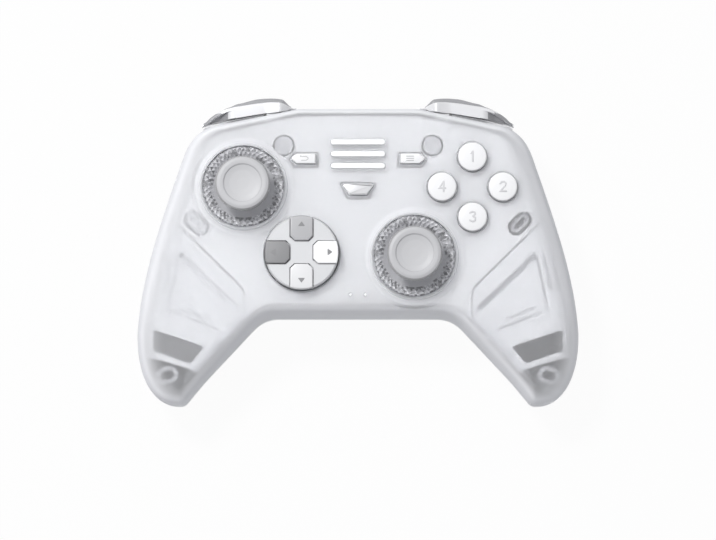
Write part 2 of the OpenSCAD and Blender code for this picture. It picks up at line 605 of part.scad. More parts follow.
// Sticks
cap_top = face_z + cap_rise;
skirt_out = 10.8;
skirt_in = 9.9;
shaft_r = 2;
bore_a = asin((shaft_r + run) / skirt_in);
module stick_cap_at(s) translate([s.x, s.y, 0]) rotate_extrude() polygon(concat(
    [[0, cap_top - 2.4], [shaft_r + run, cap_top - 2.4]],
    [for (t = [0:0.125:1]) let (a = mix(bore_a, 58, t)) [skirt_in * sin(a), pivot_z + skirt_in * cos(a)]],
    [for (t = [0:0.125:1]) let (a = mix(58, 20, t)) [skirt_out * sin(a), pivot_z + skirt_out * cos(a)]],
    [[3.4, face_z + 0.4], [3.6, face_z + 2.5], [4.3, face_z + 5], [5.8, cap_top - 3.9], [7.6, cap_top - 3.3],
     [cap_r - 0.5, cap_top - 2.9], [cap_r, cap_top - 2.2], [cap_r, cap_top - 1.4], [cap_r - 0.25, cap_top - 0.6],
     [cap_r - 0.8, cap_top - 0.1], [cap_r - 1.4, cap_top], [cap_r - 2.4, cap_top - 0.15],
     [cap_r - 3.1, cap_top - 0.6], [cap_r - 5.5, cap_top - 1.05], [0, cap_top - 1.3]]));
module stick_shaft_at(s) translate([s.x, s.y, pivot_z - 3]) cylinder(r = shaft_r, h = cap_top - 2.5 - pivot_z + 3);
module stick_hub_at(s) translate([s.x, s.y, pivot_z]) difference() {
    union() {
        translate([0, 0, -1.5]) cylinder(r = 3.2, h = 3);
        rotate([90, 0, 0]) cylinder(r = 0.8, h = 11, center = true);
    }
    cylinder(r = shaft_r + run, h = 10, center = true);
}
module stick_gimbal_at(s) translate([s.x, s.y, pivot_z]) difference() {
    union() {
        translate([0, 0, -1.3]) cylinder(r = 5.9, h = 2.6);
        rotate([0, 90, 0]) cylinder(r = 0.8, h = 14.8, center = true);
    }
    cylinder(r = 4.2, h = 10, center = true);
    rotate([90, 0, 0]) cylinder(r = 0.8 + run, h = 20, center = true);
}
module can(half, r, h) intersection() {
    translate([-half, -half, 0]) cube([2 * half, 2 * half, h]);
    translate([0, 0, -1]) cylinder(r = r, h = h + 2);
}
module stick_box_at(s) translate([s.x, s.y, board_z]) difference() {
    can(7.5, 8.6, pivot_z + 3.4 - board_z);
    translate([0, 0, 0.8]) can(6.6, 7.8, 20);
    translate([0, 0, pivot_z - board_z]) rotate([0, 90, 0]) cylinder(r = 0.8 + run, h = 30, center = true);
}
// Knurled ring: the profile is stepped round, with every other corner lifted.
function ring_section(i) = let (
        up = i % 2 == 0 ? 0.3 : -0.3,
        r = ring_r - (i % 2 == 0 ? 0 : 0.35),
        a = 180 * i / ring_teeth
    ) [for (p = [[ring_r - 6.2, face_z - 3], [ring_r - 2, face_z - 1.6], [ring_r - 2, face_z - 0.95],
        [ring_r - 0.4, face_z - 0.95], [r, face_z + 1.8], [ring_r - 0.7, face_z + 2.2 + up * 0.6],
        [ring_r - 1.7, face_z + 1.5 - up], [ring_r - 2.7, face_z + 0.6 + up],
        [ring_r - 3.5, face_z - 0.3], [ring_r - 6.2, face_z - 2.5]]) [p.x * cos(a), p.x * sin(a), p.y]];
module stick_ring_at(s) translate([s.x, s.y, 0]) {
    rows = 2 * ring_teeth;
    sections = [for (i = [0:rows - 1]) ring_section(i)];
    n = len(sections[0]);
    polyhedron(joined(sections), [for (i = [0:rows - 1]) for (j = [0:n - 1]) for (h = [0, 1]) let (
        a = i * n + j, b = i * n + (j + 1) % n, c = ((i + 1) % rows) * n + (j + 1) % n, e = ((i + 1) % rows) * n + j
    ) h == 0 ? [a, b, c] : [a, c, e]], convexity = 8);
}
module left_stick_ring() color([0.75, 0.75, 0.76]) stick_ring_at(left_stick);
module right_stick_ring() color([0.75, 0.75, 0.76]) stick_ring_at(right_stick);
module left_stick_box() color([0.5, 0.5, 0.5]) stick_box_at(left_stick);
module right_stick_box() color([0.5, 0.5, 0.5]) stick_box_at(right_stick);
module left_stick_gimbal() color([0.3, 0.3, 0.3]) stick_gimbal_at(left_stick);
module right_stick_gimbal() color([0.3, 0.3, 0.3]) stick_gimbal_at(right_stick);
module left_stick_hub() color([0.2, 0.2, 0.2]) stick_hub_at(left_stick);
module right_stick_hub() color([0.2, 0.2, 0.2]) stick_hub_at(right_stick);
module left_stick_shaft() color([0.65, 0.65, 0.65]) stick_shaft_at(left_stick);
module right_stick_shaft() color([0.65, 0.65, 0.65]) stick_shaft_at(right_stick);
module left_stick_cap() color([0.77, 0.77, 0.77]) stick_cap_at(left_stick);
module right_stick_cap() color([0.77, 0.77, 0.77]) stick_cap_at(right_stick);

// Bumpers: a bar outside the top edge, on an arm that reaches in to the pin
upper_edge = [for (i = [0:widest_i(outline)]) flat(outline[i])];
function shoulder_y(x) = lookup(x, upper_edge);
bumper_line = [[21.6, 0.3], [24, 1.2], [26.6, 2], [30, 2.4], [35, 2.2], [40, 1.6], [45, 0.7], [49, -1],
    [52, -2.9], [54, -4.6], [55.6, -6.2]];
function bumper_out(x) = top_y + lookup(x, bumper_line);
function bumper_in(x) = shoulder_y(x) + 0.4 + 0.75 * ease((x - 28) / 24);
bumper_lean = 0.9;
function bar_section(x, y0, y1, z0, z1, c, lean) = [
    [x, y0 - lean, z1], [x, y1 - 1.6 * c, z1], [x, y1 - 0.5 * c, z1 - 0.5 * c], [x, y1, z1 - 1.6 * c],
    [x, y1, z0 + c], [x, y1 - 0.3 * c, z0 + 0.3 * c], [x, y1 - c, z0], [x, y0, z0], [x, y0, z1 - 3.2]];
module bumper_right_shape() {
    difference() {
        union() {
            loft([for (t = [0:0.0625:1]) let (
                x = mix(21.8, 55, t),
                end = ease(min(t, 1 - t) / 0.09),
                y0 = bumper_in(x),
                y1 = max(y0 + 0.9, bumper_out(x) - 0.5 * (1 - end))
            ) bar_section(x, y0, y1, bumper_z0 + 1.2 * (1 - end), bumper_z1 - 1.4 * (1 - end),
                min(1.6, 0.36 * (y1 - y0)), bumper_lean * end)]);
            translate([bumper_pin_x - 1.9, bumper_pin_y, bumper_z0 + 1])
                cube([4.5, bumper_in(bumper_pin_x) + 1.4 - bumper_pin_y, 5]);
            translate([bumper_pin_x, bumper_pin_y, bumper_z0 + 1]) cylinder(r = 2.4, h = 5);
        }
        translate([bumper_pin_x, bumper_pin_y, part_z]) cylinder(r = bumper_pin_r + run, h = 12);
    }
}
module bumper_right() color([0.72, 0.72, 0.73]) bumper_right_shape();
module bumper_left() color([0.72, 0.72, 0.73]) mirror([1, 0, 0]) bumper_right_shape();
module bumper_pins() color([0.6, 0.6, 0.6]) mirrored()
    translate([bumper_pin_x, bumper_pin_y, part_z - 3.9]) cylinder(r = bumper_pin_r, h = in_z - part_z + 3.8);

// Triggers: a curved finger plate below each bumper, on a hub round the trigger pin
trigger_face = [[-1.6, 0.99], [0.2, 0.98], [0.75, 0.93], [0.9, 0.8], [0.75, 0.5], [0.9, 0.24], [1.9, 0],
    [0.7, -0.02], [-1.6, 0.18], [-3, 0.42], [-3.5, 0.7], [-3.5, 0.99]];
trigger_reach = 0.5;
module trigger_right_shape() {
    top = part_z - 0.4;
    difference() {
        union() {
            loft([for (t = [0:0.0625:1]) let (
                x = mix(24.2, 51.5, t),
                end = ease(min(t, 1 - t) / 0.12),
                y = bumper_out(x) + 0.3 + trigger_reach * (1 - ease((x - 42.5) / 3)) - 0.8 * (1 - end),
                y_in = max(shoulder_y(x) + 1.1, y - 3.5)
            ) [for (p = trigger_face) [x, p.x > 0 ? y + p.x * mix(0.55, 1, end) : mix(y, y_in, -p.x / 3.5),
                mix(trigger_z0, top, p.y) + (p.y < 0.3 ? 2 * (1 - end) : p.y > 0.8 ? -1.2 * (1 - end) : 0)]]]);
            translate([34.5, trigger_pin_y, trigger_pin_z - 1.8])
                cube([11.4, bumper_out(40) - 2 - trigger_pin_y, 3.6]);
            translate([34.5, trigger_pin_y, trigger_pin_z]) rotate([0, 90, 0]) cylinder(r = 2.3, h = 11.4);
        }
        translate([30, trigger_pin_y, trigger_pin_z]) rotate([0, 90, 0]) cylinder(r = trigger_pin_r + run, h = 20);
    }
}
module trigger_right() color([0.4, 0.4, 0.42]) trigger_right_shape();
module trigger_left() color([0.4, 0.4, 0.42]) mirror([1, 0, 0]) trigger_right_shape();
module trigger_pins() color([0.6, 0.6, 0.6]) mirrored()
    translate([30.4, trigger_pin_y, trigger_pin_z]) rotate([0, 90, 0]) cylinder(r = trigger_pin_r, h = 22.8);
// Return spring: one wire wound round the pin
spring_turns = 3;
function wire_frame(t) = let (a = 360 * spring_turns * t)
    [46.6 + 3.6 * t, trigger_pin_y + 1.9 * cos(a), trigger_pin_z + 1.9 * sin(a), a];
module spring_right() loft([for (i = [0:12 * spring_turns]) let (f = wire_frame(i / (12 * spring_turns)))
    [for (k = [0:4]) [f.x + 0.28 * sin(72 * k), f.y + 0.28 * cos(72 * k) * cos(f[3]),
        f.z + 0.28 * cos(72 * k) * sin(f[3])]]]);
module trigger_springs() color([0.7, 0.7, 0.7]) mirrored() spring_right();

// Rumble motors in the grips
module motor_shape() translate([motor_at.x, motor_at.y - motor_l / 2, motor_z]) rotate([-90, 0, 0]) union() {
    cylinder(r = motor_r, h = motor_l);
    cylinder(r = 2.4, h = motor_l + 0.8);
    cylinder(r = 1, h = motor_l + 8);
}
module weight_shape() translate([motor_at.x, motor_at.y + motor_l / 2 + 1.1, motor_z])
    rotate([-90, 0, 0]) difference() {
    union() {
        cylinder(r = 2.6, h = 6.4);
        intersection() {
            cylinder(r = 8.3, h = 6.4);
            translate([-10, 0, -1]) cube([20, 20, 10]);
        }
    }
    translate([0, 0, -1]) cylinder(r = 1 + run, h = 10);
}
module rumble_motor_right() color([0.3, 0.3, 0.32]) motor_shape();
module rumble_motor_left() color([0.3, 0.3, 0.32]) mirror([1, 0, 0]) motor_shape();
module rumble_weight_right() color([0.55, 0.55, 0.5]) weight_shape();
module rumble_weight_left() color([0.55, 0.55, 0.5]) mirror([1, 0, 0]) weight_shape();

front_shell();
rear_shell();
case_screws();
grip_liner_left();
grip_liner_right();
inner_frame();
light_guide();
status_light_pipe();
main_board();
board_screws();
key_switches();
battery();
usb_socket();
face_button_top();
face_button_right();
face_button_bottom();
face_button_left();
view_button();
menu_button();
home_button();
dpad_disc();
dpad_key_up();
dpad_key_right();
dpad_key_down();
dpad_key_left();
dpad_ball();
dpad_post();
left_stick_ring();
right_stick_ring();
left_stick_box();
right_stick_box();
left_stick_gimbal();
right_stick_gimbal();
left_stick_hub();
right_stick_hub();
left_stick_shaft();
right_stick_shaft();
left_stick_cap();
right_stick_cap();
bumper_left();
bumper_right();
bumper_pins();
trigger_left();
trigger_right();
trigger_pins();
trigger_springs();
rumble_motor_left();
rumble_motor_right();
rumble_weight_left();
rumble_weight_right();
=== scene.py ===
"""Looks for the gamepad controller: finer shells, caps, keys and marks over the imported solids."""

import math

import bmesh
import bpy
import numpy as np
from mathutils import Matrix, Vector


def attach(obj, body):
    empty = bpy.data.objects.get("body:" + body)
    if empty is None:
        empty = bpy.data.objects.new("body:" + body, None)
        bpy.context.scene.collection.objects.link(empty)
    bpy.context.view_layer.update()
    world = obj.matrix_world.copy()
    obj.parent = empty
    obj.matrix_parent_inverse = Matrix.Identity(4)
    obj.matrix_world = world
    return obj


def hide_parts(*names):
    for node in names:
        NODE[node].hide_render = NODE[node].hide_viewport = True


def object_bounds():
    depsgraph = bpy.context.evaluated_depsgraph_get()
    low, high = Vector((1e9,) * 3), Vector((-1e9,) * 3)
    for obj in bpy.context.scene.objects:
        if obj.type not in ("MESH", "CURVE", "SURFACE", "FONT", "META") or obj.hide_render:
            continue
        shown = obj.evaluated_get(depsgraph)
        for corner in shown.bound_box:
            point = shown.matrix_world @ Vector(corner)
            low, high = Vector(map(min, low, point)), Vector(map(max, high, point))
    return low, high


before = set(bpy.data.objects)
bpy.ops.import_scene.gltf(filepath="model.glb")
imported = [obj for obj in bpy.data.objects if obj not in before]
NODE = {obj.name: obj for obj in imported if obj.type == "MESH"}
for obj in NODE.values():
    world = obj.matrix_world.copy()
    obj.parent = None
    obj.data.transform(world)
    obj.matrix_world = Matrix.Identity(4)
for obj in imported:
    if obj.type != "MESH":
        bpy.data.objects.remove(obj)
cad_lo, cad_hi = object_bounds()
MM = 0.001
scene = bpy.context.scene


# Mesh helpers
def tidy(ob, angle=35.0):
    """Merges doubles, turns every face outwards and keeps edges above the angle sharp."""
    bm = bmesh.new()
    bm.from_mesh(ob.data)
    bmesh.ops.remove_doubles(bm, verts=bm.verts, dist=2e-6)
    bmesh.ops.dissolve_degenerate(bm, edges=bm.edges, dist=1e-6)
    bmesh.ops.recalc_face_normals(bm, faces=bm.faces)
    bm.to_mesh(ob.data)
    bm.free()
    ob.data.shade_smooth()
    ob.data.set_sharp_from_angle(angle=math.radians(angle))
    return ob


def add(name, verts, faces, angle=35.0):
    """A mesh from points in mm and faces."""
    me = bpy.data.meshes.new(name)
    me.from_pydata((np.asarray(verts, float) * MM).tolist(), [], [list(map(int, f)) for f in faces])
    ob = bpy.data.objects.new(name, me)
    scene.collection.objects.link(ob)
    return tidy(ob, angle)


def combine(ob, other, how, angle=35.0):
    """Boolean of two closed meshes; the second one is used up."""
    mod = ob.modifiers.new("b", "BOOLEAN")
    mod.object = other
    mod.operation = how
    mod.solver = "MANIFOLD"
    bpy.context.view_layer.update()
    done = bpy.data.meshes.new_from_object(ob.evaluated_get(bpy.context.evaluated_depsgraph_get()))
    ob.modifiers.clear()
    ob.data = done
    bpy.data.objects.remove(other)
    return tidy(ob, angle)


def copy_of(ob, name):
    new = bpy.data.objects.new(name, ob.data.copy())
    scene.collection.objects.link(new)
    return new


def points(ob):
    """The mesh's points in metres, a row each."""
    co = np.empty(len(ob.data.vertices) * 3)
    ob.data.vertices.foreach_get("co", co)
    return co.reshape(-1, 3)


def set_points(ob, co):
    ob.data.vertices.foreach_set("co", co.ravel())


def mirror_x(ob, name):
    """A copy on the other side of the middle plane."""
    new = copy_of(ob, name)
    set_points(new, points(new) * np.array([-1, 1, 1]))
    return tidy(new)


def pair(ob):
    """The right-hand piece and its mirror copy, by side."""
    return {"right": ob, "left": mirror_x(ob, ob.name.replace("right", "left"))}


def lathe(name, prof, at=(0, 0), n=112, closed=False, angle=35.0):
    """A profile of (r, z) turned round an upright axis."""
    m = len(prof)
    turn = [2 * math.pi * i / n for i in range(n)]
    verts = [(at[0] + r * math.cos(a), at[1] + r * math.sin(a), z) for a in turn for r, z in prof]
    faces = []
    for i in range(n):
        k = (i + 1) % n
        for j in range(m if closed else m - 1):
            q = (j + 1) % m
            faces.append((i * m + j, i * m + q, k * m + q, k * m + j))
    return add(name, verts, faces, angle)


def drum(name, r, z0, z1, at=(0, 0), n=48):
    """A plain upright cylinder."""
    return lathe(name, [(0, z0), (r, z0), (r, z1), (0, z1)], at, n)


def fillet(pts, steps=5):
    """Rounds corners of a profile: each point is (r, z) or (r, z, radius)."""
    out = []
    for i, p in enumerate(pts):
        rad = p[2] if len(p) > 2 else 0
        if not rad or i in (0, len(pts) - 1):
            out.append((p[0], p[1]))
            continue
        b = np.array(p[:2], float)
        u = np.array(pts[i - 1][:2], float) - b
        v = np.array(pts[i + 1][:2], float) - b
        lu, lv = np.linalg.norm(u), np.linalg.norm(v)
        u, v = u / lu, v / lv
        half = math.acos(max(-1, min(1, float(u @ v)))) / 2
        cut = min(rad / math.tan(half), 0.49 * lu, 0.49 * lv)
        a, c = b + u * cut, b + v * cut
        for k in range(steps + 1):
            t = k / steps
            out.append(tuple((1 - t) ** 2 * a + 2 * t * (1 - t) * b + t * t * c))
    return out


def inset(poly, d):
    """A convex or gently bent polygon, turning left, moved inwards by d."""
    p = np.asarray(poly, float)
    out = []
    for i in range(len(p)):
        a, b, c = p[i - 1], p[i], p[(i + 1) % len(p)]
        u = (b - a) / np.linalg.norm(b - a)
        v = (c - b) / np.linalg.norm(c - b)
        n1, n2 = np.array([-u[1], u[0]]), np.array([-v[1], v[0]])
        out.append(b + d * (n1 + n2) / (1 + n1 @ n2))
    return out


def stack(name, rings, angle=35.0):
    """A closed solid through rings of (polygon, z), all with the same point count."""
    n = len(rings[0][0])
    verts = [(x, y, z) for poly, z in rings for x, y in poly]
    faces = []
    for k in range(len(rings) - 1):
        for j in range(n):
            q = (j + 1) % n
            faces.append((k * n + j, k * n + q, (k + 1) * n + q, (k + 1) * n + j))
    faces += [list(range(n))[::-1], [(len(rings) - 1) * n + j for j in range(n)]]
    return add(name, verts, faces, angle)


def shift(poly, x=0, y=0, turn=0.0):
    """The polygon turned, then moved."""
    c, s = math.cos(math.radians(turn)), math.sin(math.radians(turn))
    return [(x + c * a - s * b, y + s * a + c * b) for a, b in poly]


def keycap(name, poly, z0, z1, edge, steps=4, foot=0.0):
    """A prism with a rounded top edge and, if asked, a small chamfer at the foot."""
    rings = [(inset(poly, foot), z0), (poly, z0 + foot)] if foot else [(poly, z0)]
    for k in range(steps + 1):
        a = math.pi / 2 * k / steps
        rings.append((inset(poly, edge * (1 - math.cos(a))), z1 - edge + edge * math.sin(a)))
    return stack(name, rings)


def round_poly(poly, rad, steps=4):
    """The polygon with each corner rounded."""
    n = len(poly)
    out = []
    for i in range(n):
        out += fillet([poly[i - 1], (*poly[i], rad), poly[(i + 1) % n]], steps)[1:-1]
    return out


def pill(length, width, n=14):
    """A bar along x with round ends."""
    r, h = width / 2, length / 2 - width / 2
    ends = [(h + r * math.cos(a), r * math.sin(a)) for a in np.linspace(-math.pi / 2, math.pi / 2, n)]
    return ends + [(-x, -y) for x, y in ends]


def box(name, lo, hi):
    """A block between two corners, whose x may be in either order."""
    x0, x1 = sorted((lo[0], hi[0]))
    ring = [(x0, lo[1]), (x1, lo[1]), (x1, hi[1]), (x0, hi[1])]
    return stack(name, [(ring, lo[2]), (ring, hi[2])])


def stroke(name, line, width, z0, z1, at):
    """Raised line work: a rounded bar for each stretch, joined into one solid."""
    done = None
    for a, b in zip(line[:-1], line[1:]):
        a, b = np.array(a, float), np.array(b, float)
        bar = pill(np.linalg.norm(b - a) + width, width, 8)
        bar = shift(bar, *(np.array(at) + (a + b) / 2), math.degrees(math.atan2(*(b - a)[::-1])))
        piece = keycap(name, bar, z0, z1, 0.12, 2)
        done = piece if done is None else combine(done, piece, "UNION")
    return done


# Sizes in mm, as in the part's source
PART_Z = 20.0
FACE_Z = 34.0
WALL = 2.0
TOP_Y = 50.5
WAIST_Y = -23.6
GRIP_Y = -54.5
HALF_W = 77.5
WIDE_Y = -29.0
TIP_X = 62.3
DROOP = 3.5
LIFT = 5.0
SINK = 0.4
L_STICK = (-39.9, 21.3)
R_STICK = (19.6, -3.1)
RING_R = 14.2
CAP_R = 9.55
CAP_TOP = FACE_Z + 11.3
PIVOT_Z = 22.5
PAD = (-19.6, -2.0)
PAD_R = 12.8
PAD_TOP = FACE_Z + 3.2
KEY_WAYS = ("up", "right", "down", "left")
DIAMOND = (39.9, 21.3)
PITCH = 10.6
WAYS = {"top": (0, 1), "right": (1, 0), "bottom": (0, -1), "left": (-1, 0)}
ARROW_AT = (19.0, 31.3)
HOME_AT = (0, 20.5)
BAR_Y = 33.0
BAR_PITCH = 4.2
BAR_SIZE = (19, 1.9)
DOT = (2.6, -16.4)
BUMPER_PIN = (29.5, 44.2)
TRIGGER_PIN = (41.8, 16.4)
POSTS = {"round": (26.0, 36.3), "pill": (56.5, 8.8), "grip": (66.5, -44.1)}

# Depths that only the looks use
PLATE_Z = (30.3, 31.8)
SIGN_Z = (FACE_Z + 1, FACE_Z + 1.26)
LINER_D = WALL + 0.5
UNDER_D = WALL - 0.04


def button_at(name):
    return (DIAMOND[0] + PITCH * WAYS[name][0], DIAMOND[1] + PITCH * WAYS[name][1])


def mix(a, b, t):
    return a + (b - a) * t


def ease(t):
    """Smooth step from 0 to 1."""
    t = np.clip(t, 0, 1)
    return t * t * (3 - 2 * t)


def rise(x, start, length):
    """0 up to the start, then a smooth step to 1 over the length."""
    return float(ease((x - start) / length))


# The two shells
def outline(n=10):
    """Half the outline, from the middle of the top edge to the middle of the waist.

    Each point has x, y and how far in the rounding of the front and of the rear shell reaches."""
    v = lambda *p: np.array(p, float)
    bend = lambda a, b, c, t: mix(mix(a, b, t), mix(b, c, t), t)
    top0 = v(0, TOP_Y, 4, 8)
    top1 = v(21, TOP_Y, 4, 8)
    slope = v(50, TOP_Y - 5.8, 5, 9)
    side = v(61.6, TOP_Y - 16.5, 11, 13)
    wide = v(HALF_W, WIDE_Y, 13, 14)
    tip = v(TIP_X, GRIP_Y, 8, 12)
    tip1 = v(TIP_X - 3.2, GRIP_Y + 2.0, 6, 12)
    knee = v(TIP_X - 8.2, GRIP_Y + 8.1, 5.5, 12)
    crotch0 = v(36.5, WAIST_Y - 3.8, 5, 11)
    crotch1 = v(28, WAIST_Y, 4.5, 10)
    low = v(0, WAIST_Y, 4.5, 10)

    def flank(t):
        p = mix(side, wide, t)
        p[0] = mix(side[0], wide[0], math.sin(math.pi / 2 * t) - 0.067 * math.sin(math.pi * t))
        return p

    def grip(t):
        p = mix(wide, tip, t)
        p[0] = mix(tip[0], wide[0], math.cos(math.pi / 2 * t) ** 0.9)
        p[1] = mix(wide[1], tip[1], math.sin(math.pi / 2 * t) ** 0.9)
        return p

    stretches = (
        (1, lambda t: mix(top0, top1, t)),
        (1, lambda t: mix(top1, slope, t)),
        (4, lambda t: bend(slope, v(58.4, TOP_Y - 7.4, 8, 11), side, t)),
        (6, flank),
        (6, grip),
        (3, lambda t: bend(tip, v(TIP_X - 1.9, GRIP_Y, 7, 12), tip1, t)),
        (1, lambda t: mix(tip1, knee, t)),
        (1, lambda t: mix(knee, crotch0, t)),
        (3, lambda t: bend(crotch0, v(32.8, WAIST_Y, 5, 10), crotch1, t)),
        (1, lambda t: mix(crotch1, low, t)),
    )
    pts = [way(t) for count, way in stretches for t in np.arange(count * n) / (count * n)]
    return np.array(pts + [low])


OUT = outline()


def edge_share(p, k, d):
    """How far in from the outline points lie: 0 at the edge of a skin d deep, 1 past the rounding."""
    p = np.column_stack([np.abs(p[:, 0]), p[:, 1]])
    best = np.full(len(p), 9.0)
    for a, b in zip(OUT[:-1], OUT[1:]):
        v = b[:2] - a[:2]
        t = np.clip(((p - a[:2]) @ v) / (v @ v), 0, 1)
        gap = np.linalg.norm(p - a[:2] - t[:, None] * v, axis=1)
        best = np.minimum(best, (gap - d) / max(0.8, a[k] - d))
    return np.clip(best, 0, 1)


def skin_z(p, d, front):
    """Height of the skin that lies d inside the front or the rear shell."""
    q = edge_share(p, 2 if front else 3, d)
    swell = np.maximum(0, 1 - (1 - q) ** 2.2) ** (1 / 2.2)
    ax = np.abs(p[:, 0])
    if front:
        droop = DROOP * ease((-p[:, 1] - 8) / 42) * ease((ax - 30) / 18)
        return PART_Z + swell * (FACE_Z - PART_Z - d - droop)
    lift = LIFT * ease((ax - 22) / 24) * ease((p[:, 1] + 4) / 30)
    low = PART_Z - swell * (PART_Z + SINK - d - lift)
    return np.maximum(low, 0) if d == 0 else low


def grid(d, front, n_st, n_edge, n_mid):
    """Points of a skin in rows across the object, closer together at the rounded edges."""
    k = 2 if front else 3
    ahead = np.vstack([OUT[1:], [[-1, WAIST_Y, 0, 0]]])[:, :2]
    behind = np.vstack([[[-1, TOP_Y, 0, 0]], OUT[:-1]])[:, :2]
    v = ahead - behind
    v /= np.linalg.norm(v, axis=1)[:, None]
    line = OUT[:, :2] + d * np.column_stack([v[:, 1], -v[:, 0]])
    m = int(np.argmax(line[:, 0]))
    rad = OUT[:, k] - d
    up, low = slice(0, m + 1), slice(len(line) - 1, m - 1, -1)
    rows = []
    for i in range(n_st + 1):
        x = line[m, 0] * math.sin(math.radians(89 * i / n_st))
        hi = np.interp(x, line[up, 0], line[up, 1])
        lo = np.interp(x, line[low, 0], line[low, 1])
        e_hi = min(np.interp(x, line[up, 0], rad[up]), 0.4 * (hi - lo))
        e_lo = min(np.interp(x, line[low, 0], rad[low]), 0.4 * (hi - lo))
        a = 1 - np.cos(np.linspace(0, math.pi / 2, n_edge + 1))
        middle = np.linspace(lo + e_lo, hi - e_hi, n_mid + 1)
        y = np.concatenate([lo + e_lo * a[:-1], middle, (hi - e_hi * a[:-1])[::-1]])
        rows.append(np.column_stack([np.full(len(y), x), y]))
    g = np.array(rows)
    z = skin_z(g.reshape(-1, 2), d, front).reshape(g.shape[:2])
    z[-1], z[:, 0], z[:, -1] = PART_Z, PART_Z, PART_Z
    half = np.dstack([g, z])
    other = half[:0:-1].copy()
    other[:, :, 0] *= -1
    return np.vstack([other, half])


def rim_of(shape):
    """Rows and columns round the edge of a grid, in order."""
    r, c = shape[:2]
    return [(i, 0) for i in range(r - 1)] + [(r - 1, j) for j in range(c - 1)] + \
        [(i, c - 1) for i in range(r - 1, 0, -1)] + [(0, j) for j in range(c - 1, 0, -1)]


def quads(shape, base, turn):
    """Faces of a grid whose first point has the number base."""
    r, c = shape[:2]
    out = []
    for i in range(r - 1):
        for j in range(c - 1):
            f = (base + i * c + j, base + i * c + j + 1, base + (i + 1) * c + j + 1, base + (i + 1) * c + j)
            out.append(f[::-1] if turn else f)
    return out


def shell(name, front):
    """Both skins of a shell, with a small groove where the two shells meet."""
    a, b = grid(0, front, 96, 12, 34), grid(WALL, front, 60, 8, 22)
    ra, rb = rim_of(a.shape), rim_of(b.shape)
    seam = 0.22 if front else -0.22
    for i, j in ra:
        a[i, j, 2] += seam
    lip = np.array([a[i, j] for i, j in ra])
    nxt, prv = np.roll(lip, -1, 0), np.roll(lip, 1, 0)
    t = nxt[:, :2] - prv[:, :2]
    t /= np.maximum(1e-9, np.linalg.norm(t, axis=1))[:, None]
    lip[:, 0] -= 0.2 * t[:, 1]
    lip[:, 1] += 0.2 * t[:, 0]
    lip[:, 2] = PART_Z
    inner = np.array([b[i, j] for i, j in rb])
    verts = np.vstack([a.reshape(-1, 3), b.reshape(-1, 3), lip])
    nb, nl = a.shape[0] * a.shape[1], a.shape[0] * a.shape[1] + b.shape[0] * b.shape[1]
    faces = quads(a.shape, 0, front) + quads(b.shape, nb, not front)
    ia = [i * a.shape[1] + j for i, j in ra]
    ib = [nb + i * b.shape[1] + j for i, j in rb]
    n = len(ia)
    for k in range(n):
        q = (k + 1) % n
        faces.append((ia[k], ia[q], nl + q, nl + k))
    # The flat rim between the groove and the inner skin: the loops differ in count, so walk them together.
    m = len(ib)
    i = j = 0
    j0 = int(np.argmin(np.linalg.norm(inner[:, :2] - lip[0, :2], axis=1)))
    while i < n or j < m:
        pa, pb = nl + i % n, ib[(j0 + j) % m]
        step_a = np.linalg.norm(lip[(i + 1) % n, :2] - inner[(j0 + j) % m, :2]) if i < n else 1e9
        step_b = np.linalg.norm(inner[(j0 + j + 1) % m, :2] - lip[i % n, :2]) if j < m else 1e9
        if step_a <= step_b:
            faces.append((pa, nl + (i + 1) % n, pb))
            i += 1
        else:
            faces.append((pa, ib[(j0 + j + 1) % m], pb))
            j += 1
    return add(name, verts, faces, 40)


def solid(name, d, front):
    """All that lies d or more inside a shell, down or up to the parting plane."""
    g = grid(d, front, 60, 8, 22)
    rim = [i * g.shape[1] + j for i, j in rim_of(g.shape)]
    return add(name, g.reshape(-1, 3), quads(g.shape, 0, front) + [rim], 40)


def clamp(ob):
    """Keeps a rebuilt piece inside the solids' own box."""
    set_points(ob, np.clip(points(ob), np.array(cad_lo), np.array(cad_hi)))


def arrow(g):
    """The menu key's outline with a gap round it; the view key is its mirror image."""
    l, h, c = 8.3 / 2 + g, 3.4 / 2 + g, 1.7
    return [(-l, -h), (l - c, -h), (l, -0.35), (l, 0.35), (l - c, h), (-l, h)]


def home(g):
    """The middle key's outline with a gap round it."""
    t, b, h = 5.375 + g, 3 + g, 1.95 + g
    return [(-b, -h), (b, -h), (t, h - 0.8), (t - 0.5, h), (0.5 - t, h), (-t, h - 0.8)]


def bar_shape(g):
    return pill(BAR_SIZE[0] + 2 * g - 0.2, BAR_SIZE[1] + 2 * g - 0.2)


def placed(poly, at, flip=1):
    """An outline at its place, mirrored where flip is -1."""
    return [(flip * x + at[0], y + at[1]) for x, y in poly][::flip]


def flared(shape, at, flip=1):
    """A cut for a key or a bar that widens at the face."""
    rings = ((0.2, 27), (0.2, FACE_Z - 0.3), (0.75, FACE_Z + 0.5))
    return stack("cut", [(placed(shape(gap), at, flip), z) for gap, z in rings])


def lay_down(ob):
    """Turns a piece drawn in x, z with height -y into place."""
    co = points(ob)
    set_points(ob, np.column_stack([co[:, 0], -co[:, 2], co[:, 1]]))
    return tidy(ob)


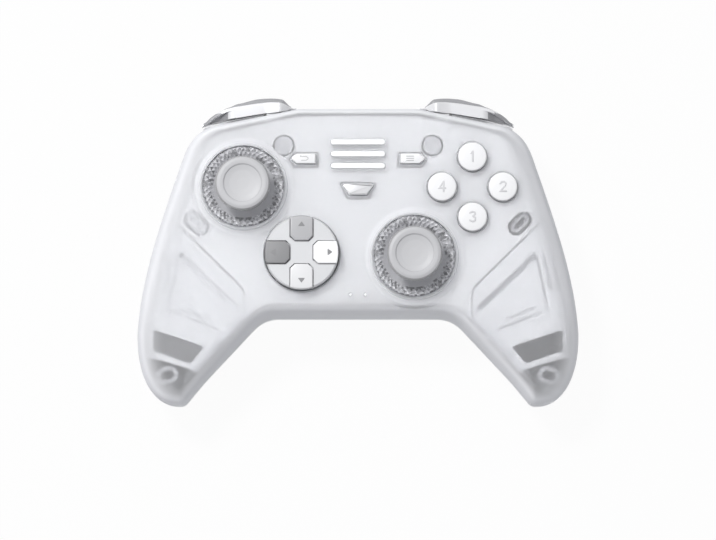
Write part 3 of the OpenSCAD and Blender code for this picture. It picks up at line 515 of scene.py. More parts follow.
# Front shell: collars and openings
VIEW_AT = (-ARROW_AT[0], ARROW_AT[1])
COLLAR = fillet([(13.6, 36.2), (13.6, 32.6), (18.4, 32.6), (18.3, 33.96), (17.2, 34.1, 0.8),
                 (16.3, 34.7, 0.8),
                 (15.8, 35.15, 0.15), (15.45, 35.3, 0.12), (15.15, 36.2, 0.35), (13.6, 36.2)])[:-1]
STICK_HOLE = [(0, 28), (12.6, 28), (12.6, 33), (14.4, 33), (14.4, 40), (0, 40)]
PAD_HOLE = [(0, 28), (13.3, 28), (13.3, 32.2), (13.17, 32.4), (13.17, 33.75), (13.5, 34.2),
            (13.5, 35), (0, 35)]
BUTTON_HOLE = [(0, 27), (6.5, 27), (6.5, 31.9), (5.4, 31.9), (5.4, 33.7), (6.7, 35), (0, 35)]
DOT_HOLE = [(0, 28), (0.65, 28), (0.65, 33.8), (1.5, 34.65), (0, 34.65)]
front = shell("front_cover", True)
for at in (L_STICK, R_STICK):
    front = combine(front, lathe("collar", COLLAR, at, 160, closed=True), "UNION")
cuts = [lathe("cut", STICK_HOLE, at, 128) for at in (L_STICK, R_STICK)]
cuts.append(lathe("cut", PAD_HOLE, PAD, 128))
cuts += [lathe("cut", BUTTON_HOLE, button_at(name), 72) for name in WAYS]
cuts += [flared(arrow, ARROW_AT), flared(arrow, VIEW_AT, -1), flared(home, HOME_AT)]
cuts += [flared(bar_shape, (0, BAR_Y + BAR_PITCH * i)) for i in (-1, 0, 1)]
for sx in (-1, 1):
    cuts.append(lathe("cut", DOT_HOLE, (DOT[0] * sx, DOT[1]), 24))
    cuts.append(box("cut", (BUMPER_PIN[0] * sx - 4.1, 45, 18), (BUMPER_PIN[0] * sx + 4.1, 53, 29.2)))
socket = shift(pill(9.74, 4.0), 0, 18.6)
port = lay_down(stack("cut", [(socket, -53.5), (socket, -41.5)]))
for cut in cuts + [copy_of(port, "cut")]:
    front = combine(front, cut, "DIFFERENCE")
clamp(front)

# Rear shell: ribs, screw holes, trigger openings and the socket's opening
SCREW_HOLE = [(0, -1), (3.6, -1), (2.8, 0.4), (2.8, 7), (1.3, 7), (1.3, 22), (0, 22)]
rear = shell("rear_cover", False)
for sx in (-1, 1):
    ribs = [drum("rib", 4.2, 0.5, 20, (sx * x, y)) for x, y in POSTS.values()]
    ribs += [box("rib", (sx * x, 39.2, 3), (sx * (x + 1.8), 47.2, 18.4)) for x in (30.9, 51)]
    for rib in ribs:
        rear = combine(rear, combine(rib, solid("trim", 1.0, False), "INTERSECT"), "UNION")
for sx in (-1, 1):
    for x, y in POSTS.values():
        rear = combine(rear, lathe("cut", SCREW_HOLE, (sx * x, y), 48), "DIFFERENCE")
    rear = combine(rear, box("cut", (33 * sx, 38.8, 9.4), (50.6 * sx, 54.8, 29.4)), "DIFFERENCE")
rear = combine(rear, port, "DIFFERENCE")
clamp(rear)


# Posts and bosses seen through the front shell
def under_face(ob):
    """What of a piece lies under the inner skin of the front shell."""
    return combine(ob, solid("trim", UNDER_D, True), "INTERSECT")


def slug(name, size, at, turn, z0, z1):
    """An upright bar with round ends."""
    return stack(name, [(shift(pill(*size), *at, turn), z) for z in (z0, z1)])


# Size, size of the core, turn in degrees and floor of the core
POST_BAR = {"pill": ((7.4, 3.6), (5.2, 1.6), 45, 31), "grip": ((7.8, 6.0), (4.8, 3.0), -15, 24)}
posts = []
for key, at in POSTS.items():
    name = f"screw_post_{key}_right"
    if key == "round":
        post = lathe(name, fillet([(0, 20.5), (3.25, 20.5), (3.25, 34), (0, 34)]), at, 64)
    else:
        size, core, turn, core_z = POST_BAR[key]
        post = slug(name, size, at, turn, 20.5, 34)
        post = combine(post, slug("cut", core, at, turn, core_z, 35), "DIFFERENCE")
    posts += pair(under_face(post)).values()
hoop = slug("screw_post_hoop_right", (9.1, 5.3), POSTS["pill"], 45, 24, 34)
hoop = combine(hoop, slug("cut", (7.5, 3.7), POSTS["pill"], 45, 20, 36), "DIFFERENCE")
hoops = pair(under_face(hoop))
bosses = pair(under_face(drum("pin_boss_right", 3.05, 29.9, 34, BUMPER_PIN)))

# Liners in the grips, with a window over each motor
LINER_OUT = HALF_W - 3.9
WINDOW = np.array([[53.5, -34.1], [71.2, -28.2], [71.4, -35.5], [58.5, -40.1]])
LINER_UPPER = np.array([[39.8, -14.9], [49.4, -5.3], [58.6, 3.7], [65.2, 10.2], [67.6, 4],
                        [LINER_OUT, -15.6]])
LINER_LOWER = np.array([[39.8, -26.4], [49.6, -35.8], [56.4, -43.2], [59.5, -41.6], [LINER_OUT, -37.4]])
TRAY = np.array([[41.9, -19.9], [41.7, -22.6], [53.2, -32.4], [69.0, -26.6], [67.2, -20.5], [63.2, -1.6],
                 [62.0, -0.9]])
GROOVES = (((48.8, -28.0), (65.7, -21.8)), ((51.4, -24.8), (61.8, -20.5)), ((62.4, -3.0), (65.6, -18.6)),
           ((65.0, -2.0), (67.5, -13.6)), ((68.2, -3.0), (70.2, -13.6)))
FRAME_EDGE = np.array([[39.75, -26.5], [39.75, -14.5], [52.4, -2.0], [65.0, 10.4]])


def seg_gap(p, a, b):
    """Distance of points from a straight stretch."""
    a, b = np.array(a, float), np.array(b, float)
    t = np.clip(((p - a) @ (b - a)) / ((b - a) @ (b - a)), 0, 1)
    return np.linalg.norm(p - a - t[:, None] * (b - a), axis=1)


def slab(name, p, z, thick, shape):
    """A bent plate: a grid of points with its top at z."""
    n = len(p)
    faces = quads(shape, 0, False) + quads(shape, n, True)
    rim = [i * shape[1] + j for i, j in rim_of(shape)]
    faces += [(a, b, n + b, n + a) for a, b in zip(rim, rim[1:] + rim[:1])]
    return add(name, np.vstack([np.column_stack([p, z]), np.column_stack([p, z - thick])]), faces, 50)


def liner():
    """A tray with a raised border, a sunk middle and grooves, like the moulded liner under the shell."""
    nu, nv = 110, 100
    x = mix(39.9, LINER_OUT, np.linspace(0, 1, nu))
    lo = np.interp(x, LINER_LOWER[:, 0], LINER_LOWER[:, 1])
    hi = np.interp(x, LINER_UPPER[:, 0], LINER_UPPER[:, 1])
    y = lo[:, None] + (hi - lo)[:, None] * np.linspace(0, 1, nv)[None]
    p = np.dstack([np.repeat(x[:, None], nv, 1), y]).reshape(-1, 2)
    edges = list(zip(TRAY, np.roll(TRAY, -1, 0)))
    inside = np.ones(len(p), bool)
    for a, b in edges:
        inside &= (b[0] - a[0]) * (p[:, 1] - a[1]) - (b[1] - a[1]) * (p[:, 0] - a[0]) > 0
    edge = np.where(inside, np.min([seg_gap(p, a, b) for a, b in edges], axis=0), 0)
    sunk = 0.5 * ease(edge / 0.8)
    for a, b, deep, wide in ((TRAY[0], TRAY[-1], 1.5, 1.5), (TRAY[-2], TRAY[4], 0.8, 0.7)):
        sunk += np.where(inside, deep * np.exp(-((seg_gap(p, a, b) - 0.7) / wide) ** 2), 0)
    for a, b in GROOVES:
        sunk = np.maximum(sunk, 1.5 * np.exp(-(seg_gap(p, a, b) / 0.5) ** 2))
    near = np.min([seg_gap(p, a, b) for a, b in zip(WINDOW, np.roll(WINDOW, -1, 0))], axis=0)
    sunk *= ease((near - 0.9) / 0.9)
    ob = slab("liner_tray_right", p, skin_z(p, LINER_D, True) - sunk, 1.2, (nu, nv))
    hole = round_poly(WINDOW.tolist()[::-1], 0.8)
    return combine(ob, stack("cut", [(hole, 0), (hole, 40)]), "DIFFERENCE", 50)


def lap():
    """A thin lip of the liner that reaches under the edge of the frame."""
    along, across = 61, 5
    t = np.linspace(0, 3, along)
    mid = np.column_stack([np.interp(t, range(4), FRAME_EDGE[:, k]) for k in (0, 1)])
    way = np.gradient(mid, axis=0)
    way /= np.linalg.norm(way, axis=1)[:, None]
    side = np.column_stack([-way[:, 1], way[:, 0]])
    p = (mid[:, None] + side[:, None] * np.linspace(-1.3, 1.3, across)[None, :, None]).reshape(-1, 2)
    return slab("liner_lap_right", p, skin_z(p, LINER_D, True) - 1.35, 0.5, (along, across))


def pane():
    """A thin dark sheet right under the liner's window; it stands in for the dark motor below and is partly
    a painted shade of the grip's inside.
    """
    n = 13
    a, b, c, e = np.array(inset(WINDOW[::-1], -1.1))
    u = np.linspace(0, 1, n)
    p = np.array([mix(mix(a, b, i), mix(e, c, i), j) for i in u for j in u])
    return slab("motor_cover_right", p, skin_z(p, LINER_D, True) - 1.5, 0.3, (n, n))


laps = pair(lap())
liners = pair(liner())
panes = pair(pane())

# Sticks
SKIRT_OUT = 10.8
SKIRT_IN = 9.9
SHAFT_R = 2.0


def cap(name, at):
    """A dished cap on a stem, over a round skirt that turns about the stick's pivot."""
    arc = lambda r, a0, a1: [(r * math.sin(math.radians(a)), PIVOT_Z + r * math.cos(math.radians(a)))
                             for a in np.linspace(a0, a1, 14)]
    bore = math.degrees(math.asin((SHAFT_R + 0.05) / SKIRT_IN))
    t = CAP_TOP
    prof = [(0, t - 2.4), (2.05, t - 2.4)] + arc(SKIRT_IN, bore, 58) + arc(SKIRT_OUT, 58, 20)
    prof += fillet([prof[-1], (3.4, FACE_Z + 0.4, 0.4), (3.6, FACE_Z + 2.5, 2), (4.3, FACE_Z + 5, 2),
                    (5.8, t - 3.9, 0.8), (7.6, t - 3.3, 0.6), (CAP_R - 0.35, t - 2.9, 0.3),
                    (CAP_R, t - 2.3, 0.3),
                    (CAP_R, t - 1.3, 0.4), (CAP_R - 0.5, t - 0.35, 0.9), (CAP_R - 1.5, t, 1.0),
                    (6.75, t - 0.1, 0.5), (6.35, t - 0.62, 0.35), (4.6, t - 1.05, 2.5), (2.2, t - 1.25, 2),
                    (0, t - 1.3)], 5)[1:]
    return lathe(name, prof, at, 144, angle=42)


def ring(name, at, teeth=48):
    """The knurled ring: sharp facets outside, a smooth cone inside."""
    rows = 2 * teeth
    verts, faces = [], []
    for i in range(rows):
        up = 0.4 if i % 2 == 0 else -0.4
        r = RING_R - (0 if i % 2 == 0 else 0.5)
        a = math.pi * i / teeth
        prof = [(RING_R - 6.2, FACE_Z - 3), (RING_R - 2, FACE_Z - 1.6), (RING_R - 2, FACE_Z - 0.95),
                (RING_R - 0.4, FACE_Z - 0.95), (r, FACE_Z + 1.8), (RING_R - 0.7, FACE_Z + 2.2 + up * 0.6),
                (RING_R - 1.7, FACE_Z + 1.5 - up), (RING_R - 2.7, FACE_Z + 0.6 + up),
                (RING_R - 3.5, FACE_Z - 0.3), (RING_R - 4.9, FACE_Z - 1.35), (RING_R - 6.2, FACE_Z - 2.5)]
        verts += [(at[0] + q * math.cos(a), at[1] + q * math.sin(a), z) for q, z in prof]
    n = len(prof)
    for i in range(rows):
        k = (i + 1) % rows
        for j in range(n):
            q = (j + 1) % n
            a, b, c, e = i * n + j, i * n + q, k * n + q, k * n + j
            if 3 <= j <= 7:
                faces += [(a, b, c), (a, c, e)] if (i + j) % 2 else [(a, b, e), (b, c, e)]
            else:
                faces.append((a, b, c, e))
    return add(name, verts, faces, 14)


STICKS = {"left": L_STICK, "right": R_STICK}
caps = {side: cap(f"stick_top_{side}", at) for side, at in STICKS.items()}
rings = {side: ring(f"knurl_{side}", at) for side, at in STICKS.items()}

# Direction pad
KEY_HALF = 3.9
KEY_IN = 4.1
KEY_CORNER = ((0, 1.6), (0.7, 0.9), (1.6, 0))


def key_poly():
    """The upper key: cut inner corners, and the pad's own arc outside."""
    end = math.asin(KEY_HALF / PAD_R)
    left = [(-KEY_HALF + x, KEY_IN + y) for x, y in KEY_CORNER]
    right = [(KEY_HALF - x, KEY_IN + y) for x, y in KEY_CORNER[::-1]]
    return left + right + [(PAD_R * math.sin(a), PAD_R * math.cos(a)) for a in np.linspace(end, -end, 17)]


keys = {}
for i, name in enumerate(KEY_WAYS):
    poly = shift(shift(key_poly(), turn=-90 * i), *PAD)
    keys[name] = keycap(f"pad_key_{name}", poly, PAD_TOP - 1.35, PAD_TOP + 1, 0.45, 4)

# Buttons
BUTTON = fillet([(0, 22.8), (2.2, 22.8), (2.2, 30.3), (6.4, 30.3), (6.4, 31.6), (5.15, 31.6),
                 (5.15, 35.45, 0.55),
                 (4.55, 35.8, 0.5), (3, 36.05, 1.5), (1.2, 36.18, 1), (0, 36.2)], 6)
buttons = {name: lathe(f"button_{name}", BUTTON, button_at(name), 96, angle=50) for name in WAYS}


def small_key(name, shape, at, corner, edge, steps, flip=1):
    """A key with a flange under the face and a stem above its switch."""
    poly = placed(round_poly(shape(0), corner, 3), at, flip)
    top = keycap(f"key_{name}", poly, 31, FACE_Z + 1.2, edge, steps)
    flange = placed(shape(0.7), at, flip)
    top = combine(top, stack("foot", [(flange, 30.4), (flange, 31.6)]), "UNION")
    return combine(top, drum("stem", 1.4, 21.9, 31.5, at, 32), "UNION")


small = {
    "menu": small_key("menu", arrow, ARROW_AT, 0.25, 0.3, 4),
    "view": small_key("view", arrow, VIEW_AT, 0.25, 0.3, 4, -1),
    "home": small_key("home", home, HOME_AT, 0.15, 0.4, 3),
}

# Lights
guide = box("light_bars", (-10.6, BAR_Y - 6.25, PLATE_Z[0]), (10.6, BAR_Y + 6.25, PLATE_Z[1]))
for i in (-1, 0, 1):
    bar = keycap("bar", shift(pill(*BAR_SIZE), 0, BAR_Y + BAR_PITCH * i), 31, FACE_Z + 0.5, 0.35, 3)
    guide = combine(guide, bar, "UNION")
pipe = box("light_dots", (-DOT[0] - 3.3, DOT[1] - 2.3, PLATE_Z[0]), (DOT[0] + 3.3, DOT[1] + 2.3, PLATE_Z[1]))
LIGHT_DOT = fillet([(0, 31), (0.5, 31), (0.5, 34.1, 0.1), (0, 34.1)])
for sx in (-1, 1):
    pipe = combine(pipe, lathe("dot", LIGHT_DOT, (DOT[0] * sx, DOT[1]), 32), "UNION")


# A dark ring on the pad's foot, a painted shade in the gap round the disc, and a white one under the face
# round its hole
def pad_ring(name, r0, r1, z0, z1):
    return lathe(name, [(r0, z0), (r1, z0), (r1, z1), (r0, z1)], PAD, 128, closed=True)


well = pad_ring("pad_gap_shade", 12.6, 12.9, 29.5, 30.2)
apron = pad_ring("pad_apron", 13.55, 15.2, 31.45, 31.85)

# Bumpers and triggers
BUMPER_LINE = np.array([[21.6, 0.3], [24, 1.2], [26.6, 2], [30, 2.4], [35, 2.2], [40, 1.6], [45, 0.7],
                        [49, -1],
                        [52, -2.9], [54, -4.6], [55.6, -6.2]])
TRIGGER_FACE = np.array([[-1.6, 0.99], [0.9, 0.99], [1.6, 0.93], [1.6, 0.8], [1.0, 0.5], [1.0, 0.24],
                         [1.9, 0],
                         [0.7, -0.02], [-1.6, 0.18], [-3, 0.42], [-3.5, 0.7], [-3.5, 0.99]])
LEAN = 0.9


def spline(table, x):
    """Smooth curve through a table."""
    slope = np.gradient(table[:, 1], table[:, 0])
    i = int(np.clip(np.searchsorted(table[:, 0], x) - 1, 0, len(table) - 2))
    h = table[i + 1, 0] - table[i, 0]
    t = float(np.clip((x - table[i, 0]) / h, 0, 1))
    return (table[i, 1] * (2 * t ** 3 - 3 * t * t + 1) + table[i + 1, 1] * (3 * t * t - 2 * t ** 3)
            + h * (slope[i] * (t ** 3 - 2 * t * t + t) + slope[i + 1] * (t ** 3 - t * t)))


def shoulder(x):
    """The shell's upper outline."""
    m = int(np.argmax(OUT[:, 0]))
    return float(np.interp(x, OUT[:m + 1, 0], OUT[:m + 1, 1]))


def bumper_out(x):
    return TOP_Y + spline(BUMPER_LINE, x)


def bumper_in(x):
    return shoulder(x) + 0.42 + 0.75 * rise(x, 28, 24)


def lip_out(x):
    """Outer face of the shell's lip, clear of the pressed bumper."""
    return shoulder(x) + 0.3 + 0.14 * rise(x, 30, 14) - 0.2 * rise(x, 44, 6)


def lip_top(x):
    return 24.4 + 1.2 * rise(x, 24, 3) + 1.3 * rise(x, 28, 8) - 1.6 * rise(x, 46, 8)


def loft(name, rings, angle=40.0):
    """A closed solid through rings of points, all with the same point count."""
    n = len(rings[0])
    verts = [p for r in rings for p in r]
    faces = [(k * n + j, k * n + (j + 1) % n, (k + 1) * n + (j + 1) % n, (k + 1) * n + j)
             for k in range(len(rings) - 1) for j in range(n)]
    faces += [list(range(n)), [(len(rings) - 1) * n + j for j in range(n)]]
    return add(name, verts, faces, angle)


def bumper():
    """A bar with a pointed inner end; towards the outer end its inner half sinks behind a rim."""
    rings = []
    for t in np.linspace(0, 1, 73):
        x = mix(21.8, 55, t)
        end = rise(1 - t, 0, 0.09)
        tip = rise(x, 21.6, 6.5)
        far = rise(x, 44, 5)
        y0 = bumper_in(x)
        back = 0.45 + 0.3 * rise(x, 30, 12) * (1 - far)
        y1 = max(y0 + mix(0.3, 0.9, tip), bumper_out(x) - back - 0.5 * (1 - end))
        z0 = 21.2 + 1.2 * (1 - end)
        z1 = mix(22.8, 29.6 - 2.0 * rise(x, 24, 9), tip) - 1.6 * rise(x, 46, 8) - 0.8 * (1 - end)
        soft = min(1.6, 0.36 * (y1 - y0))
        top = lip_top(x)
        gap = y0 - shoulder(x) - 0.3 - 0.28 * rise(x, 30, 14)
        lean = max(LEAN * (1 - rise(x, 27, 9)), (gap + 0.12) * rise(x, 28, 4) * (1 - far))
        lean *= rise(z1 - top, 0.4, 2 if x < 30 else 0.3)
        bend = min(max(z1 - 1.7, top + 0.1), z1 - 0.3)
        sunk = 2.8 * far * end
        rim = max(y0 + 0.1, y1 - 1.3)
        prof = fillet([(y0, z0), (y0, bend - sunk), (y0 - lean, z1 - sunk, 0.2), (rim, z1 - 0.8 * sunk),
                       (rim + 0.1, z1), (y1, z1, 2.0 * soft), (y1, z0, soft), (y0, z0)], 6)[:-1]
        rings.append([(x, y, z) for y, z in prof])
    ob = loft("bumper_bar_right", rings)
    arm = box("arm", (27.6, BUMPER_PIN[1], 22.2), (32.1, bumper_in(BUMPER_PIN[0]) + 1.4, 27.2))
    ob = combine(ob, arm, "UNION")
    ob = combine(ob, drum("eye", 2.4, 22.2, 27.2, BUMPER_PIN), "UNION")
    return combine(ob, drum("pin", 1.35, 20, 32, BUMPER_PIN), "DIFFERENCE", 40)


def trigger():
    """A blade with a curled lip, and the arm that turns on the pin."""
    face = []
    n = len(TRIGGER_FACE)
    for i in range(n):
        p0, p1, p2, p3 = (TRIGGER_FACE[(i + k) % n] for k in (-1, 0, 1, 2))
        for t in np.arange(5) / 5:
            curve = 0.5 * (2 * p1 + (p2 - p0) * t + (2 * p0 - 5 * p1 + 4 * p2 - p3) * t * t
                           + (3 * p1 - p0 - 3 * p2 + p3) * t ** 3)
            face.append(mix(p1, p2, t) if i in (10, 11) else curve)
    rings = []
    for t in np.linspace(0, 1, 61):
        x = mix(23.8, 51.5, t)
        end = rise(min(t, 1 - t), 0, 0.12)
        reach = (1 - 0.5 * rise(x, 35, 8)) * mix(0.55, 1, end)
        y = bumper_out(x) + 0.3 + 0.5 * (1 - rise(x, 42.5, 3)) - 0.8 * (1 - end)
        y_in = min(y - 0.3, max(shoulder(x) + 1.1, y - 3.5))
        outline_here = []
        for px, py in face:
            taper = 2 * rise(-py, -0.4, 0.2) - 1.2 * rise(py, 0.7, 0.2)
            z = mix(5.0, PART_Z - 0.4, py) + (1 - end) * taper
            outline_here.append((x, y + px * reach if px > 0 else mix(y, y_in, -px / 3.5), z))
        rings.append(outline_here)
    ob = loft("trigger_blade_right", rings)
    ob = combine(ob, box("arm", (34.5, TRIGGER_PIN[0], 14.6), (45.9, bumper_out(40) - 2, 18.2)), "UNION")
    for how, r, x0, x1 in (("UNION", 2.3, 34.5, 45.9), ("DIFFERENCE", 1.25, 30, 50)):
        rod = drum("rod", r, x0, x1, n=40)
        co = points(rod)
        y, z = np.array(TRIGGER_PIN) * MM
        set_points(rod, np.column_stack([co[:, 2], co[:, 0] + y, co[:, 1] + z]))
        ob = combine(ob, tidy(rod), how, 40)
    return ob


# The ledge and the lip on the shell's rim under each bumper, with a slot for its arm
xs = np.arange(24, 54.5, 1.0)
ledge = [(x, shoulder(x) - 1.2) for x in xs] + [(x, shoulder(x) + 1.5) for x in xs[::-1]]
lip = []
for x in np.arange(23.5, 54.6, 0.5):
    y, out, top = shoulder(x), lip_out(x), lip_top(x)
    lip.append([(x, y - 1.2, PART_Z), (x, out, PART_Z), (x, out, top - 0.45), (x, out - 0.3, top),
                (x, y - 0.45, top + 0.1), (x, y - 1.2, top - 1)])
seat = combine(stack("ledge", [(ledge, PART_Z), (ledge, PART_Z + 0.9)]), loft("lip", lip), "UNION")
seat = combine(seat, box("slot", (26.6, 43, 18), (33.2, 53, 28)), "DIFFERENCE")
for piece in (mirror_x(seat, "ledge_left"), seat):
    front = combine(front, piece, "UNION", 40)

bumpers = pair(bumper())
triggers = pair(trigger())
for ob in (*bumpers.values(), *triggers.values()):
    clamp(ob)

# Plain marks
DIGIT = {
    "top": [(-0.5, 1.15), (0.1, 1.7), (0.1, -1.7)],
    "right": [(-1, 0.95), (-0.55, 1.6), (0.45, 1.65), (0.95, 1.05), (0.75, 0.3), (-1, -1.65), (1.1, -1.65)],
    "bottom": [(-0.95, 1.3), (-0.2, 1.7), (0.65, 1.5), (0.9, 0.8), (0.05, 0.15), (0.95, -0.5), (0.85, -1.35),
               (0, -1.75), (-1, -1.3)],
    "left": [(0.5, -1.7), (0.5, 1.7), (-1.1, -0.6), (1.15, -0.6)],
}
HOOK = {
    "view_hook": [(-18.4, 33.95), (-19.9, 33.95), (-20.5, 33.95), (-20.2, 34.3)],
    "view_tail": [(-18.4, 33.95), (-17.75, 33.55), (-17.75, 33.0), (-18.4, 32.6), (-20, 32.6)],
}
# Piece, body, slot and finish
marks = []
for name, line in DIGIT.items():
    # The numerals are painted grey: a painted shade for the shading along their raised strokes.
    numeral = stroke(f"numeral_{name}", line, 0.62, 35.6, 36.36, button_at(name))
    marks.append((numeral, f"face_button_{name}", "white_button", "numeral_grey"))
for i, name in enumerate(KEY_WAYS):
    tri = shift(shift([(-1.25, -0.75), (1.25, -0.75), (0, 0.95)], 0, 9.8), turn=-90 * i)
    tri = round_poly(shift(tri, *PAD), 0.2, 3)
    pointer = keycap(f"pointer_{name}", tri, PAD_TOP + 0.8, PAD_TOP + 1.07, 0.05, 1)
    marks.append((pointer, "dpad", "key_dark", None))
for k in (-1, 0, 1):
    line = shift(pill(2.8, 0.34, 6), ARROW_AT[0] - 0.8, ARROW_AT[1] + 0.75 * k)
    level = keycap(f"menu_line_{k + 1}", line, *SIGN_Z, 0.05, 1)
    marks.append((level, "menu_button", "key_grey", "sign_pale"))
for name, line in HOOK.items():
    marks.append((stroke(name, line, 0.3, *SIGN_Z, (0.3, -2.0)), "view_button", "key_grey", "sign_pale"))


# Materials
MAT = {}


def remap(tree, value, low, high, to_low, to_high):
    """A value taken from one range to another."""
    node = tree.nodes.new("ShaderNodeMapRange")
    for name, number in (("From Min", low), ("From Max", high), ("To Min", to_low), ("To Max", to_high)):
        node.inputs[name].default_value = number
    tree.links.new(value, node.inputs["Value"])
    return node.outputs["Result"]


def material(name, colour, rough=0.4, metal=0.0, coat=0.0, trans=0.0, grain=2600.0, bump=0.05, tint=0.03,
             vary=0.05, ior=1.46, blotch=70.0, alpha=1.0, steep_wall_shade=None):
    """Moulded or painted finish: slow colour drift, fine grain in the roughness and in a small bump."""
    m = bpy.data.materials.new(name)
    m.use_nodes = True
    t = m.node_tree
    t.nodes.clear()
    out = t.nodes.new("ShaderNodeOutputMaterial")
    bsdf = t.nodes.new("ShaderNodeBsdfPrincipled")
    t.links.new(bsdf.outputs[0], out.inputs[0])
    where = t.nodes.new("ShaderNodeTexCoord")
    slow, fine = t.nodes.new("ShaderNodeTexNoise"), t.nodes.new("ShaderNodeTexNoise")
    for node, scale, detail in ((slow, blotch, 3), (fine, grain, 2)):
        node.inputs["Scale"].default_value = scale
        node.inputs["Detail"].default_value = detail
        t.links.new(where.outputs["Object"], node.inputs["Vector"])
    both = t.nodes.new("ShaderNodeMix")
    both.inputs["Factor"].default_value = 0.45
    t.links.new(slow.outputs["Fac"], both.inputs["A"])
    t.links.new(fine.outputs["Fac"], both.inputs["B"])
    drift = t.nodes.new("ShaderNodeMix")
    drift.data_type = "RGBA"
    drift.inputs["A"].default_value = (*[c * (1 - tint) for c in colour], 1)
    drift.inputs["B"].default_value = (*[min(1, c * (1 + tint)) for c in colour], 1)
    t.links.new(both.outputs["Result"], drift.inputs["Factor"])
    t.links.new(drift.outputs["Result"], bsdf.inputs["Base Color"])
    gloss = remap(t, both.outputs["Result"], 0, 1, max(0.02, rough - vary), rough + vary)
    t.links.new(gloss, bsdf.inputs["Roughness"])
    relief = t.nodes.new("ShaderNodeBump")
    relief.inputs["Strength"].default_value = bump
    relief.inputs["Distance"].default_value = 0.0001
    t.links.new(fine.outputs["Fac"], relief.inputs["Height"])
    t.links.new(relief.outputs["Normal"], bsdf.inputs["Normal"])
    for key, value in (("Metallic", metal), ("IOR", ior), ("Coat Weight", coat), ("Coat Roughness", 0.12),
                       ("Transmission Weight", trans), ("Alpha", alpha)):
        bsdf.inputs[key].default_value = value
    if steep_wall_shade:
        # Light from above goes a longer way through a steep wall: less of it gets through, and the wall's
        # base colour is made a little darker there, a painted shade from how the light falls.
        parts, up = t.nodes.new("ShaderNodeSeparateXYZ"), t.nodes.new("ShaderNodeMath")
        up.operation = "ABSOLUTE"
        t.links.new(where.outputs["Normal"], parts.inputs[0])
        t.links.new(parts.outputs["Z"], up.inputs[0])
        through = remap(t, up.outputs[0], *steep_wall_shade, 0.18 * trans, trans)
        t.links.new(through, bsdf.inputs["Transmission Weight"])
        wall = t.nodes.new("ShaderNodeMix")
        wall.data_type, wall.blend_type = "RGBA", "MULTIPLY"
        wall.inputs["B"].default_value = (0.82, 0.82, 0.83, 1)
        t.links.new(remap(t, up.outputs[0], 0.4, 0.97, 1, 0), wall.inputs["Factor"])
        t.links.new(drift.outputs["Result"], wall.inputs["A"])
        t.links.new(wall.outputs["Result"], bsdf.inputs["Base Color"])
    MAT[name] = m


# Slots
# The frosted shell's steep walls get a painted shade in their base colour.
material("frosted_shell", (0.965, 0.97, 0.985), 0.6, trans=0.8, grain=1800, bump=0.03, tint=0.01, ior=1.17,
         steep_wall_shade=(0.6, 0.985))
material("rear_plastic", (0.84, 0.845, 0.855), 0.46, grain=2200, bump=0.1, tint=0.02)
material("black_steel", (0.03, 0.03, 0.033), 0.35, metal=0.7, bump=0.08)
material("grey_liner", (0.92, 0.92, 0.93), 0.5, grain=1500, bump=0.08, tint=0.02)
material("white_frame", (0.965, 0.965, 0.97), 0.5, bump=0.06, tint=0.015)
material("light_guide", (0.93, 0.93, 0.93), 0.25, coat=0.3, tint=0.01, bump=0.02)
material("board", (0.8, 0.81, 0.8), 0.4, tint=0.05, blotch=400)
material("dark_plastic", (0.03, 0.03, 0.033), 0.5, bump=0.12, tint=0.1)
material("battery_wrap", (0.6, 0.61, 0.63), 0.3, coat=0.4, tint=0.1)
material("plated_steel", (0.62, 0.62, 0.63), 0.28, metal=1.0, tint=0.05, grain=4000)
material("white_button", (0.82, 0.82, 0.825), 0.2, coat=0.6, tint=0.012, bump=0.015)
material("silver_button", (0.75, 0.75, 0.76), 0.34, metal=0.2, tint=0.05, grain=5200, bump=0.04)
material("silver_disc", (0.62, 0.625, 0.635), 0.36, metal=0.25, tint=0.03, grain=5200, bump=0.03)
material("key_grey", (0.43, 0.43, 0.44), 0.36, tint=0.04)
material("key_white", (0.9, 0.9, 0.9), 0.3, coat=0.2, tint=0.012, bump=0.03)
material("key_pale", (0.71, 0.71, 0.715), 0.3, coat=0.2, tint=0.012, bump=0.03)
material("key_dark", (0.25, 0.25, 0.255), 0.36, tint=0.05)
material("silver_ring", (0.7, 0.7, 0.72), 0.32, metal=0.4, tint=0.06, grain=6000)
material("stick_rubber", (0.50, 0.50, 0.51), 0.48, grain=2800, bump=0.12, tint=0.03)
material("silver_bumper", (0.69, 0.69, 0.70), 0.36, metal=0.15, coat=0.2, tint=0.03, grain=5600, bump=0.04)
material("trigger_grey", (0.3, 0.3, 0.31), 0.42, grain=2000, bump=0.1, tint=0.06)
material("motor_grey", (0.06, 0.06, 0.065), 0.35, metal=0.5, tint=0.1)
material("weight_metal", (0.4, 0.38, 0.35), 0.5, metal=0.9, tint=0.15, grain=1500, bump=0.2)

# Other finishes on single pieces and faces
material("frosted_inside", (0.98, 0.98, 0.98), 0.4, bump=0.02, tint=0.01, alpha=0.03)
material("post_grey", (0.5, 0.5, 0.515), 0.5)
material("post_pale", (0.7, 0.7, 0.715), 0.5)
material("post_white", (0.88, 0.88, 0.89), 0.5)
material("hoop_shade", (0.12, 0.12, 0.125), 0.5)
material("pane_grey", (0.17, 0.17, 0.175), 0.45)
material("pane_shade", (0.06, 0.06, 0.063), 0.45)
material("liner_shade", (0.58, 0.58, 0.595), 0.5, bump=0.06)
material("liner_pale", (0.86, 0.86, 0.87), 0.5, bump=0.06)
material("button_rim_shade", (0.5, 0.5, 0.51), 0.3, metal=0.2, bump=0.03)
material("knurl_facet_shade", (0.36, 0.36, 0.37), 0.3, metal=0.4)
material("cap_edge_shade", (0.33, 0.33, 0.335), 0.48, bump=0.08)
material("cap_rim", (0.47, 0.47, 0.48), 0.48, bump=0.08)
material("bumper_shade", (0.29, 0.29, 0.3), 0.4, metal=0.2, bump=0.04)
material("numeral_grey", (0.6, 0.6, 0.61), 0.3, bump=0.03)
material("sign_pale", (0.45, 0.45, 0.46), 0.4, bump=0.03)

